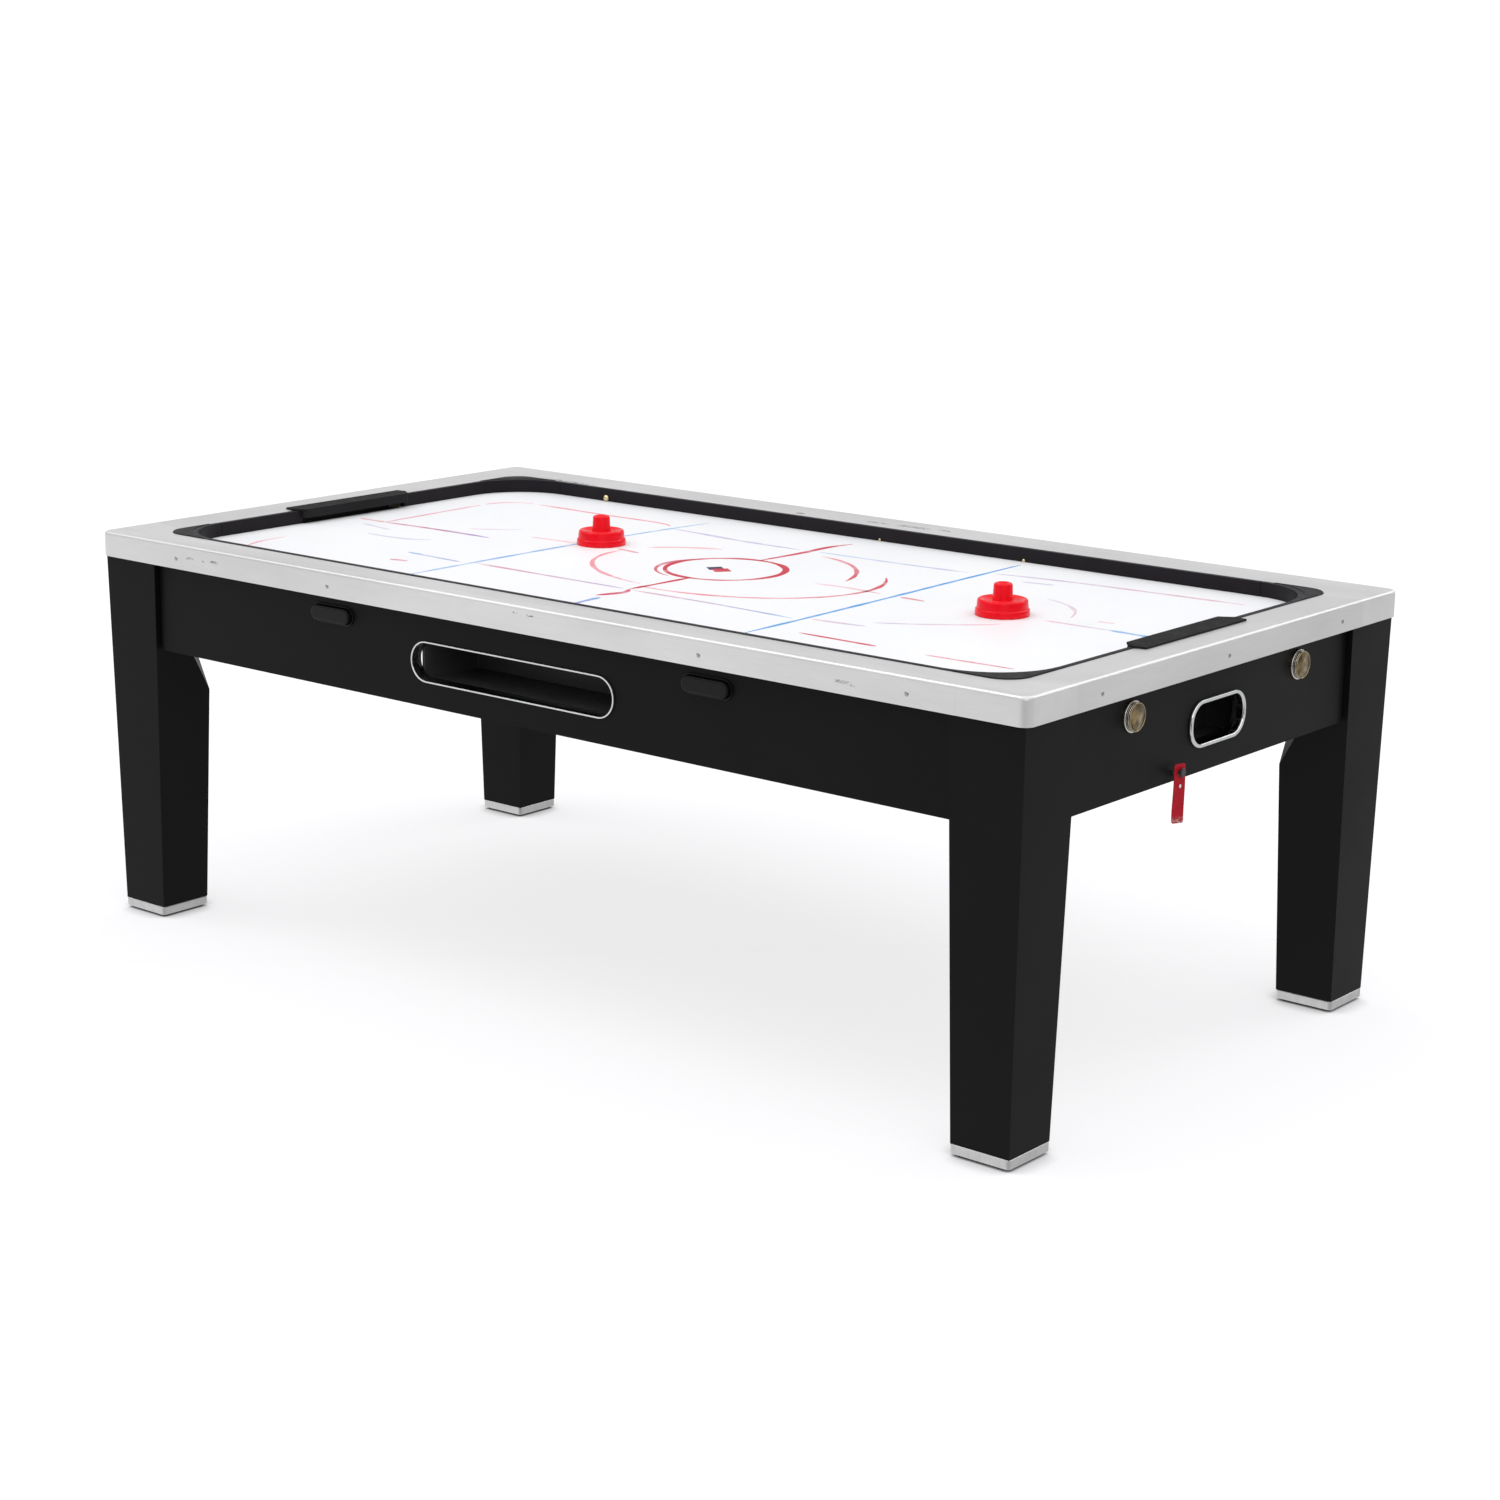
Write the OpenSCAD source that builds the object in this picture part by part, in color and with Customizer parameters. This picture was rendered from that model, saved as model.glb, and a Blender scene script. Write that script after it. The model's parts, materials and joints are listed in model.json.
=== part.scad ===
// Air hockey table, 7.5 ft size, with two mallets on the playfield.
// Origin on the floor under the table's centre: +X along the length, +Y across, +Z up.
// The front is the long side at -Y, and the right end is the short side at +X.

/* [Table] */
// Length over the rails
table_l = 2286; // [2200:1:2400]
// Width over the rails
table_w = 1230; // [1180:1:1300]
// Height of the rail top above the floor
table_h = 806; // [780:1:830]

/* [Rail] */
// Height of the rail's outer side
rail_h = 51; // [48:1:58]
// Width of the rail, seen from above
rail_w = 89; // [86:1:100]
// Wall of the rail channel
rail_t = 3; // [2:0.5:4]
// Radius of the rail's outer top edge
rail_edge_r = 8; // [4:0.5:9]
// Drop of the rail top from its outer edge to its inner lip
rail_drop = 4; // [2:0.5:5]
// Radius of the outer corners
corner_r = 20; // [12:1:30]
// Radius of the opening's corners
opening_r = 50; // [30:1:50]
// Length of each corner piece along both rails
corner_l = 140; // [140:1:180]

/* [Playfield] */
// Depth of the playing surface below the rail top
field_drop = 31; // [28:1:34]
// Thickness of the playfield panel
field_t = 6; // [4:1:8]
// Width of the bumper strip
bumper_w = 12; // [8:1:16]
// Radius of the playfield's corners
field_r = 135; // [100:1:150]
// Width of each goal
goal_w = 300; // [260:1:320]
// Height of each goal above the playing surface
goal_h = 12.5; // [10:0.5:14]

/* [Apron] */
// Height of the aprons
apron_h = 180; // [170:1:190]
// Thickness of the aprons
apron_t = 20; // [16:1:22]
// Depth of the apron face behind the rail face
apron_inset = 20; // [18:1:22]

/* [Legs] */
// Width of a leg at its foot
leg_foot_w = 118.5; // [100:0.5:125]
// Width of a leg at the rail
leg_top_w = 149.5; // [148:0.5:151]
// Setback of a leg's outer faces at its foot
leg_foot_inset = 17; // [14:0.5:20]
// Setback of a leg's outer faces at the rail
leg_top_inset = 8; // [6:0.5:9]
// Height of the metal foot cap
foot_cap_h = 17; // [12:1:20]
// Height of the glide under the cap
glide_h = 5; // [3:0.5:8]

/* [Fittings] */
// Length of the storage slot's trim ring
slot_l = 512; // [480:1:530]
// Height of the storage slot's trim ring
slot_h = 80; // [76:1:84]
// Height of the storage slot's centre
slot_z = 662; // [660:1:664]
// Length of a puck port's trim ring
port_l = 184; // [170:1:196]
// Height of a puck port's trim ring
port_h = 86; // [80:1:88]
// Height of a puck port's centre
port_z = 662; // [655:1:668]
// Distance of the latch buttons from the middle
latch_x = 470; // [440:1:500]
// Height of the latch buttons
latch_z = 719; // [715:1:722]
// Distance of the lock knobs from the middle
knob_y = 277; // [260:1:290]
// Height of the lock knobs
knob_z = 714; // [710:1:716]
// Distance of the release pin from the middle, towards the front
pin_y = 135; // [120:1:150]
// Height of the release pin
pin_z = 593; // [591:0.5:594]

/* [Mallets] */
// Diameter of a mallet
mallet_d = 102; // [90:1:104]
// Height of a mallet
mallet_h = 60; // [50:1:60]
// Place of the left mallet
mallet_left = [-399, 93]; // [-500:1:500]
// Place of the right mallet
mallet_right = [644, 37]; // [-700:1:700]

/* [Hidden] */
$fn = 96;
half_l = table_l / 2;
half_w = table_w / 2;
rail_z = table_h - rail_h;
field_z = table_h - field_drop;
field_z0 = field_z - field_t;
apron_z = rail_z - apron_h;
cap_z = glide_h + foot_cap_h;

// Half size of the opening inside the rails
open_x = half_l - rail_w;
open_y = half_w - rail_w;
// Half size of the playing surface
play_x = open_x - bumper_w;
play_y = open_y - bumper_w;
bumper_top = table_h - 2.8;
lip_z = table_h - 18;

// Faces of the aprons, as distances from the table's centre
front_face = half_w - apron_inset;
end_face = half_l - apron_inset;
apron_back_gap = apron_inset + apron_t;
apron_end_gap = leg_top_inset + leg_top_w + 1;

// The cut on each leg's inner corner, as sums of the distances from the rail's two faces
leg_cut = 60;
leg_cut_h = 105;
leg_cut_sum = 305 - leg_cut;
bolt_r = 4;
bolt_heights = [apron_z + 50, apron_z + 130];

plenum_h = 40;
panel_t = 6;
plenum_z = field_z0 - plenum_h;
floor_z = plenum_z - panel_t;
plenum_x = 1003;
plenum_y = 505;
bar_w = 30;
brace_x = 620;

box_wall = 6;
puck_box_x = 1006;
puck_box_y = goal_w / 2 + 11;
puck_box_z = 600;
tray_w = slot_l - 12;
tray_d = 150;
tray_h = 96;

latch_l = 106;
latch_d = 30;
latch_out = 12;
latch_gap = 0.5;

knob_r = 25;
knob_base_r = 28;
knob_base_h = 5;
stem_r = 8;
fit_gap = 0.05;

slot_band = 4;
port_band = 8;
slot_trim_r = slot_h / 2 - 0.5;
port_trim_r = port_h / 2 - 3.5;

pin_r = 4;
bush_r = 9;
bush_h = 8;
strap_w = 30;
strap_l = 105;
strap_t = 2;
strap_x = end_face + bush_h + 4.5;
rivet_z = pin_z - 24;

blower_y = 120;
blower_r = 120;
blower_h = 90;
blower_z = floor_z - blower_h;
motor_r = 45;
motor_h = 50;
shaft_r = 4;

switch_y = 230;
inlet_y = 300;
panel_z = 630;
rocker_tilt = 8;

side_screw_x = [-907, -465, 465, 907];
end_screw_y = [-400, 0, 400];
screw_z = rail_z + 21;

// ---------------------------------------------------------------- shared shapes

function arc(cx, cy, r, a0, a1, n) =
    [for (i = [0 : n]) [cx + r * cos(a0 + (a1 - a0) * i / n), cy + r * sin(a0 + (a1 - a0) * i / n)]];

module stadium(l, h) {
    square([l - h, h], center = true);
    for (s = [-1, 1]) translate([s * (l - h) / 2, 0]) circle(d = h);
}

module rounded_square(x, y, r) {
    square([x - 2 * r, y], center = true);
    square([x, y - 2 * r], center = true);
    for (i = [-1, 1], j = [-1, 1]) translate([i * (x / 2 - r), j * (y / 2 - r)]) circle(r = r);
}

// Draws a flat shape on a plane that faces the front, growing outwards by h
module on_front(x, z, face, h) {
    translate([x, -face, z]) rotate([90, 0, 0]) linear_extrude(h) children();
}

// Draws a flat shape on a plane that faces the right end, growing outwards by h
module on_end(y, z, face, h) {
    translate([face, y, z]) rotate([90, 0, 90]) linear_extrude(h) children();
}

// Turns a front or right-end piece to a side: 0 as drawn, 180 opposite
module turned(angle) {
    rotate([0, 0, angle]) children();
}

// Places a piece drawn in the front-left corner, with both axes pointing inwards
module at_corner(k) {
    sx = (k == 0 || k == 3) ? -1 : 1;
    sy = (k < 2) ? -1 : 1;
    translate([sx * half_l, sy * half_w, 0]) rotate([0, 0, 90 * k]) children();
}

// ---------------------------------------------------------------- rails

// Section of the rail channel: x runs inwards from the outer face, y runs up from its lower edge
module rail_section() {
    lip = rail_h - rail_drop;
    lip_low = lip_z - rail_z;
    inner_r = rail_edge_r - rail_t;
    polygon(concat(
        [[0, 0]],
        arc(rail_edge_r, rail_h - rail_edge_r, rail_edge_r, 180, 90, 8),
        [[rail_w, lip], [rail_w, lip_low], [rail_w - rail_t, lip_low], [rail_w - rail_t, lip - rail_t]],
        arc(rail_edge_r, rail_h - rail_edge_r, inner_r, 90, 180, 8),
        [[rail_t, 0]]));
}

module straight_rail(face, length) {
    translate([-length / 2, -face, rail_z]) rotate([90, 0, 90]) linear_extrude(length) rail_section();
}

module side_rail(angle) {
    turned(angle) difference() {
        straight_rail(half_w, table_l - 2 * corner_l);
        for (x = side_screw_x) on_front(x, screw_z, half_w - rail_t - 1, rail_t + 2) circle(r = 2.2, $fn = 32);
    }
}

module end_rail(angle) {
    turned(angle) difference() {
        turned(90) straight_rail(half_l, table_w - 2 * corner_l);
        for (y = end_screw_y) on_end(y, screw_z, half_l - rail_t - 1, rail_t + 2) circle(r = 2.2, $fn = 32);
    }
}

// One run of the corner piece, cut on the mitre and short of the rounded corner
module corner_run(flip) {
    plan = [[0, 0], [corner_l, 0], [corner_l, corner_l]];
    difference() {
        intersection() {
            if (flip) {
                translate([0, corner_l, rail_z]) rotate([90, 0, 0]) linear_extrude(corner_l) rail_section();
            } else {
                translate([0, 0, rail_z]) rotate([90, 0, 90]) linear_extrude(corner_l) rail_section();
            }
            translate([0, 0, rail_z - 1]) linear_extrude(rail_h + 2)
                polygon(flip ? [for (p = plan) [p[1], p[0]]] : plan);
        }
        translate([-1, -1, rail_z - 1]) cube([corner_r + 1, corner_r + 1, rail_h + 2]);
    }
}

module rail_corner() {
    lip = rail_h - rail_drop;
    union() {
        corner_run(false);
        corner_run(true);
        translate([corner_r, corner_r, rail_z]) rotate([0, 0, 180]) rotate_extrude(angle = 90) {
            intersection() {
                translate([corner_r, 0]) mirror([1, 0]) rail_section();
                square([corner_r, rail_h]);
            }
        }
        // Web across the inside of the corner, and its lip
        translate([0, 0, rail_z + lip - rail_t]) linear_extrude(rail_t) difference() {
            translate([rail_w - 0.5, rail_w - 0.5]) square(opening_r + 0.5);
            translate([rail_w + opening_r, rail_w + opening_r]) circle(r = opening_r);
        }
        translate([0, 0, lip_z]) linear_extrude(rail_z + lip - rail_t / 2 - lip_z) intersection() {
            translate([rail_w - 0.5, rail_w - 0.5]) square(opening_r + 0.5);
            translate([rail_w + opening_r, rail_w + opening_r]) difference() {
                circle(r = opening_r + rail_t);
                circle(r = opening_r);
            }
        }
    }
}

module rail_corners() color("silver") for (k = [0 : 3]) at_corner(k) rail_corner();

// Wooden bars inside the channels; the end bars stop at each side of the goal
module rail_cores() color("burlywood") {
    core_w = rail_w - 2 * rail_t - 4;
    core_h = rail_h - 9;
    end_l = (half_w - corner_l) - puck_box_y - 4;
    difference() {
        union() {
            for (s = [-1, 1]) translate([0, s * (half_w - rail_t - 2 - core_w / 2), rail_z + core_h / 2])
                cube([table_l - 2 * corner_l, core_w, core_h], center = true);
            for (s = [-1, 1], t = [-1, 1])
                translate([s * (half_l - rail_t - 2 - core_w / 2), t * (puck_box_y + 4 + end_l / 2), rail_z + core_h / 2])
                    cube([core_w, end_l, core_h], center = true);
        }
        at_screws() translate([0, 0, -12]) cylinder(r = 2.05, h = 12);
    }
}

module trim_screws() color("gainsboro") at_screws() screw_head();

// Places its children at every trim screw, with +Z out of the rail's side
module at_screws() {
    for (a = [0, 180]) turned(a) {
        for (x = side_screw_x) translate([x, -half_w, screw_z]) rotate([90, 0, 0]) children();
        for (y = end_screw_y) translate([half_l, y, screw_z]) rotate([0, 90, 0]) children();
    }
}

// Domed head with its shank, drawn along +Z from the surface at 0
module screw_head() {
    head_r = 4.5;
    head_h = 2;
    dome_r = (head_r * head_r + head_h * head_h) / (2 * head_h);
    dome_a = asin(head_r / dome_r);
    rotate_extrude($fn = 48) polygon(concat(
        [[0, -11], [2, -11], [2, 0]],
        arc(0, head_h - dome_r, dome_r, 90 - dome_a, 90, 6)));
}

// ---------------------------------------------------------------- aprons

module side_apron(angle, with_slot) color("#262626") turned(angle) difference() {
    translate([-half_l + apron_end_gap, -front_face, apron_z])
        cube([table_l - 2 * apron_end_gap, apron_t, apron_h]);
    if (with_slot) on_front(0, slot_z, front_face - apron_t - 1, apron_t + 2) slot_hole();
    for (s = [-1, 1]) on_front(s * latch_x, latch_z, front_face - apron_t - 1, apron_t + 2)
        stadium(latch_l + 2 * latch_gap, latch_d + 2 * latch_gap);
}

module end_apron(angle, with_pin) color("#262626") turned(angle) difference() {
    translate([end_face - apron_t, -half_w + apron_end_gap, apron_z])
        cube([apron_t, table_w - 2 * apron_end_gap, apron_h]);
    on_end(0, port_z, end_face - apron_t - 1, apron_t + 2) port_hole();
    for (s = [-1, 1]) on_end(s * knob_y, knob_z, end_face - apron_t - 1, apron_t + 2) circle(r = stem_r + 1);
    if (with_pin) {
        on_end(-pin_y, pin_z, end_face - apron_t - 1, apron_t + 2) circle(r = 6 + fit_gap);
    } else {
        on_end(switch_y, panel_z, end_face - apron_t - 1, apron_t + 2) square([23, 37], center = true);
        on_end(inlet_y, panel_z, end_face - apron_t - 1, apron_t + 2) square([31, 23], center = true);
    }
}

// ---------------------------------------------------------------- legs and feet

// Tapered side of a leg: x runs inwards from the rail's face, y runs up
module leg_side() {
    polygon([[leg_foot_inset, cap_z], [leg_foot_inset + leg_foot_w, cap_z],
             [leg_top_inset + leg_top_w, rail_z], [leg_top_inset, rail_z]]);
}

module leg() {
    reach = 400;
    diag = sqrt(2);
    difference() {
        intersection() {
            translate([0, reach, 0]) rotate([90, 0, 0]) linear_extrude(reach) leg_side();
            rotate([90, 0, 90]) linear_extrude(reach) leg_side();
        }
        rotate([0, 0, 45]) translate([0, reach / 2, 0]) rotate([90, 0, 0]) linear_extrude(reach)
            polygon([[298 / diag, apron_z - leg_cut_h], [leg_cut_sum / diag, apron_z],
                     [leg_cut_sum / diag, rail_z + 1], [reach, rail_z + 1], [reach, apron_z - leg_cut_h]]);
        for (z = bolt_heights) bolt_axis(z) translate([0, 0, 128]) cylinder(r = bolt_r + fit_gap, h = 100);
    }
}

// Looks along the corner's diagonal at height z, from the rail's corner inwards
module bolt_axis(z) {
    translate([0, 0, z]) rotate([0, 0, 45]) rotate([0, 90, 0]) children();
}

module leg_at(k) color("#242424") at_corner(k) leg();

module foot_caps() color("silver") for (k = [0 : 3]) at_corner(k)
    translate([leg_foot_inset + leg_foot_w / 2, leg_foot_inset + leg_foot_w / 2, glide_h])
        linear_extrude(foot_cap_h) rounded_square(leg_foot_w + 3, leg_foot_w + 3, 8);

module foot_glides() color("#151515") for (k = [0 : 3]) at_corner(k)
    translate([leg_foot_inset + leg_foot_w / 2, leg_foot_inset + leg_foot_w / 2, 0])
        linear_extrude(glide_h) rounded_square(leg_foot_w - 12, leg_foot_w - 12, 8);

// Wooden block across each corner, between the two aprons and against the leg's cut
module corner_blocks() color("burlywood") {
    near = apron_end_gap + 1;
    far = 260;
    meet = leg_cut_sum + 2 - near;
    difference() {
        for (k = [0 : 3]) at_corner(k) difference() {
            translate([0, 0, apron_z + 15]) linear_extrude(apron_h - 20)
                polygon([[near, apron_back_gap], [far, apron_back_gap], [apron_back_gap, far],
                         [apron_back_gap, near], [meet, near], [near, meet]]);
            for (z = bolt_heights) bolt_axis(z) translate([0, 0, 150]) cylinder(r = bolt_r + 0.3, h = 100);
        }
        translate([-plenum_x, -plenum_y, floor_z]) cube([2 * plenum_x, 2 * plenum_y, 100]);
    }
}

module leg_bolts() color("gray") {
    face = (260 + apron_back_gap) / sqrt(2);
    for (k = [0 : 3]) at_corner(k) for (z = bolt_heights) bolt_axis(z) {
        translate([0, 0, 130]) cylinder(r = bolt_r, h = face - 130 + 12);
        translate([0, 0, face]) cylinder(r = 12, h = 2);
        translate([0, 0, face + 2]) cylinder(r = 8, h = 7, $fn = 6);
    }
}

module cross_braces() color("burlywood") for (s = [-1, 1])
    translate([s * brace_x, 0, floor_z - 20]) cube([bar_w, 2 * (front_face - apron_t), 40], center = true);

// ---------------------------------------------------------------- playfield and plenum

module playfield() color("white") difference() {
    translate([0, 0, field_z0 + field_t / 2]) cube([2 * (open_x + 3), 2 * (open_y + 3), field_t], center = true);
    for (s = [-1, 1]) translate([s * (open_x + 5), 0, field_z])
        cube([2 * (bumper_w + 7), goal_w, 4 * field_t], center = true);
}

module plenum_frame() color("burlywood") {
    ribs = [-700, -350, 350, 700];
    z = plenum_z + plenum_h / 2;
    for (s = [-1, 1]) {
        translate([0, s * (plenum_y - bar_w / 2), z]) cube([2 * plenum_x, bar_w, plenum_h], center = true);
        translate([s * (plenum_x - bar_w / 2), 0, z]) cube([bar_w, 2 * (plenum_y - bar_w), plenum_h], center = true);
    }
    for (x = ribs) translate([x, 0, z]) cube([18, 2 * (plenum_y - bar_w), plenum_h], center = true);
}

module plenum_floor() color("saddlebrown") difference() {
    translate([0, 0, floor_z + panel_t / 2]) cube([2 * plenum_x, 2 * plenum_y, panel_t], center = true);
    translate([0, blower_y, floor_z - 1]) cylinder(r = 95, h = panel_t + 2);
}

// ---------------------------------------------------------------- bumpers and goals

module side_bumper(angle) color("#1d1b1f") turned(angle)
    translate([-play_x + field_r, -open_y, field_z]) cube([2 * (play_x - field_r), bumper_w, bumper_top - field_z]);

module end_bumper(angle) color("#1d1b1f") turned(angle) difference() {
    translate([play_x, -play_y + field_r, field_z]) cube([bumper_w, 2 * (play_y - field_r), bumper_top - field_z]);
    translate([play_x - 1, -goal_w / 2, field_z - 1]) cube([bumper_w + 2, goal_w, goal_h + 1]);
}

module bumper_corners() color("#2b2b2d") for (k = [0 : 3]) at_corner(k)
    translate([rail_w, rail_w, field_z]) linear_extrude(bumper_top - field_z) difference() {
        union() {
            translate([opening_r, 0]) square([bumper_w + field_r - opening_r, bumper_w + field_r]);
            translate([0, opening_r]) square([bumper_w + field_r, bumper_w + field_r - opening_r]);
            translate([opening_r, opening_r]) circle(r = opening_r);
        }
        translate([bumper_w + field_r, bumper_w + field_r]) circle(r = field_r);
    }

// Hood over a goal: a plate with flared ends on the rail's lip, and a rounded front that hangs down
module goal_hood(angle) color("#1f1f20") turned(angle) {
    plate_z = table_h - 2.6;
    plate_t = 3.6;
    front = play_x - 14;
    back = open_x + 24;
    lip_t = 10;
    flare = 12;
    half = goal_w / 2 + 4;
    union() {
        translate([0, 0, plate_z]) linear_extrude(plate_t) polygon(concat(
            [[back, -half - flare], [back, half + flare]],
            arc(back - flare, half + 2 * flare, flare, 270, 225, 5),
            arc(front + 6, half - 6, 6, 90, 180, 6),
            arc(front + 6, -half + 6, 6, 180, 270, 6),
            arc(back - flare, -half - 2 * flare, flare, 135, 90, 5)));
        translate([0, 0, field_z + goal_h]) linear_extrude(plate_z - field_z - goal_h + 0.5) polygon(concat(
            [[play_x - 0.3, -half], [play_x - 0.3, half]],
            arc(front + lip_t, half - lip_t, lip_t, 90, 180, 8),
            arc(front + lip_t, -half + lip_t, lip_t, 180, 270, 8)));
    }
}

// Box behind a port that catches the puck falling through the goal; open above and to the port
module puck_box(angle) color("#202020") turned(angle) {
    back = end_face - apron_t - 0.2;
    difference() {
        translate([puck_box_x, -puck_box_y, puck_box_z])
            cube([back - puck_box_x, 2 * puck_box_y, field_z0 - 1 - puck_box_z]);
        translate([puck_box_x + box_wall, -puck_box_y + box_wall, puck_box_z + box_wall])
            cube([back - puck_box_x, 2 * (puck_box_y - box_wall), apron_h]);
    }
    // Wall that closes the box above the port, up inside the rail
    translate([back - 3, -puck_box_y, rail_z - 35]) cube([3, 2 * puck_box_y, 76]);
}

module slot_hole() rounded_square(slot_l - 2 * slot_band, slot_h - 2 * slot_band, slot_trim_r - slot_band);

module port_hole() rounded_square(port_l - 2 * port_band, port_h - 2 * port_band, port_trim_r - port_band);

module port_trim(angle) color("gainsboro") turned(angle) on_end(0, port_z, end_face, 7) difference() {
    rounded_square(port_l, port_h, port_trim_r);
    port_hole();
}

module slot_trim() color("gainsboro") on_front(0, slot_z, front_face, 5) difference() {
    rounded_square(slot_l, slot_h, slot_trim_r);
    slot_hole();
}

module storage_tray() color("#202020") {
    y0 = -front_face + apron_t + 0.2;
    z0 = slot_z - tray_h / 2;
    difference() {
        translate([-tray_w / 2, y0, z0]) cube([tray_w, tray_d, tray_h]);
        translate([-tray_w / 2 + box_wall, y0 - 1, z0 + box_wall])
            cube([tray_w - 2 * box_wall, tray_d - box_wall + 1, tray_h - 2 * box_wall]);
    }
}

module bumper_stud(x, r) translate([x, play_y - 0.01, field_z + r + 0.1]) rotate([90, 0, 0])
    rotate_extrude($fn = 48) polygon(concat([[0, 0]], arc(0, 0, r, 0, 90, 10)));

module bumper_studs() color("goldenrod") {
    bumper_stud(-764, 7.5);
    bumper_stud(5, 3);
    bumper_stud(367, 3.5);
}

// ---------------------------------------------------------------- latches, knobs, pin

module latch_bezels() color("#1b1b1b") for (a = [0, 180], s = [-1, 1]) turned(a)
    on_front(s * latch_x, latch_z, front_face, 3) difference() {
        stadium(latch_l + 8, latch_d + 8);
        stadium(latch_l + 2 * latch_gap, latch_d + 2 * latch_gap);
    }

module latch_button(angle, s) color("#2a2a2a") turned(angle)
    on_front(s * latch_x, latch_z, front_face - 16, 16 + latch_out) stadium(latch_l, latch_d);

module knob_bases() color("silver") for (a = [0, 180], s = [-1, 1]) turned(a)
    translate([end_face, s * knob_y, knob_z]) rotate([0, 90, 0]) rotate_extrude()
        polygon([[stem_r + fit_gap, 0], [knob_base_r, 0], [knob_base_r, knob_base_h - 1],
                 [knob_base_r - 1, knob_base_h], [stem_r + fit_gap, knob_base_h]]);

// Turned head on a stem, with the cam blade on its inner end
module lock_knob(angle, s) color("darkgoldenrod") turned(angle) translate([end_face, s * knob_y, knob_z]) {
    base = knob_base_h + 0.4;
    rotate([0, 90, 0]) rotate_extrude() polygon([
        [0, -apron_t - 6], [stem_r, -apron_t - 6], [stem_r, base], [knob_r - 3, base], [knob_r - 3, base + 1.5],
        [knob_r, base + 1.5], [knob_r, base + 6.2], [knob_r - 0.8, base + 7], [knob_r - 1.6, base + 7],
        [knob_r - 2, base + 6], [0, base + 6]]);
    translate([-apron_t - 6, -6, -6]) cube([4, 12, 40]);
}

module pin_bush() color("gainsboro") translate([end_face, -pin_y, pin_z]) rotate([0, 90, 0]) rotate_extrude()
    polygon([[pin_r + fit_gap, -apron_t - 2], [6, -apron_t - 2], [6, 0], [bush_r, 0], [bush_r, bush_h - 1],
             [bush_r - 1, bush_h], [pin_r + fit_gap, bush_h]]);

module release_pin() color("#303030") translate([end_face, -pin_y, pin_z]) rotate([0, 90, 0]) rotate_extrude()
    polygon([[0, -apron_t - 12], [pin_r - 1, -apron_t - 12], [pin_r, -apron_t - 11], [pin_r, bush_h + 8],
             [7, bush_h + 8], [8, bush_h + 9], [8, bush_h + 12], [7, bush_h + 13], [0, bush_h + 13]]);

module pin_strap() color("crimson") on_end(-pin_y, pin_z, strap_x, strap_t) difference() {
    translate([0, 15 - strap_l / 2]) rounded_square(strap_w, strap_l, 2);
    circle(r = pin_r + 0.6);
    translate([0, rivet_z - pin_z]) circle(r = 1.5 + fit_gap, $fn = 32);
}

module strap_rivet() color("whitesmoke") translate([strap_x - 0.8, -pin_y, rivet_z]) rotate([0, 90, 0]) {
    cylinder(r = 1.5, h = strap_t + 1.6, $fn = 32);
    cylinder(r = 3.2, h = 0.8, $fn = 32);
    translate([0, 0, strap_t + 0.8]) cylinder(r = 3.2, h = 0.8, $fn = 32);
}

// ---------------------------------------------------------------- blower

module blower_housing() color("#333333") translate([0, blower_y, blower_z]) {
    spider_z = blower_h - 5;
    difference() {
        cylinder(r = blower_r, h = blower_h);
        translate([0, 0, -1]) cylinder(r = blower_r - 4, h = blower_h + 2);
    }
    for (a = [0 : 120 : 240]) rotate([0, 0, a]) translate([0, -8, spider_z]) cube([blower_r - 2, 16, 4]);
    translate([0, 0, spider_z]) cylinder(r = motor_r - 4, h = 4);
}

module blower_motor() color("dimgray") translate([0, blower_y, blower_z + blower_h - 5 - motor_h]) difference() {
    union() {
        cylinder(r = motor_r, h = motor_h);
        translate([0, 0, -4]) cylinder(r = 12, h = 5);
    }
    translate([0, 0, -5]) cylinder(r = shaft_r + fit_gap, h = 31);
}

module blower_impeller() color("#3a3a3a") translate([0, blower_y, blower_z + 6]) {
    blades = 12;
    disc_z = 16;
    cylinder(r = 18, h = 20);
    cylinder(r = shaft_r, h = 50);
    translate([0, 0, disc_z]) cylinder(r = 108, h = 3);
    for (a = [0 : 360 / blades : 359]) rotate([0, 0, a]) translate([52, 0, 0]) rotate([0, 0, 30])
        translate([0, -1.5, 3]) cube([52, 3, disc_z - 2]);
}

module blower_grille() color("#1c1c1c") translate([0, blower_y, blower_z - 4]) difference() {
    cylinder(r = blower_r, h = 4);
    for (r = [30 : 18 : 102]) difference() {
        translate([0, 0, -1]) cylinder(r = r + 5, h = 6);
        translate([0, 0, -2]) cylinder(r = r - 5, h = 8);
        for (a = [0 : 60 : 120]) rotate([0, 0, a]) translate([-blower_r, -4, -2]) cube([2 * blower_r, 8, 8]);
    }
}

// ---------------------------------------------------------------- switch and inlet, on the left end

module switch_box() color("#181818") turned(180) difference() {
    union() {
        on_end(switch_y, panel_z, end_face, 3) rounded_square(32, 46, 3);
        on_end(switch_y, panel_z, end_face - 25, 25.5) square([22, 36], center = true);
    }
    on_end(switch_y, panel_z, end_face - 14, 20) square([14, 24], center = true);
    rocker_pivot(1.6, 17.2);
}

module rocker_pivot(r, length) translate([end_face - 4, switch_y, panel_z])
    rotate([90, 0, 0]) cylinder(r = r, h = length, center = true, $fn = 48);

module switch_rocker() color("#8c1a1a") turned(180) {
    translate([end_face - 4, switch_y, panel_z])
        rotate([0, -rocker_tilt, 0]) translate([0, 6.5, 0]) rotate([90, 0, 0]) linear_extrude(13)
            polygon([[-6, -9.5], [7.5, -9.5], [5.5, 0], [7.5, 9.5], [-6, 9.5]]);
    rocker_pivot(1.5, 16.6);
}

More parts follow.
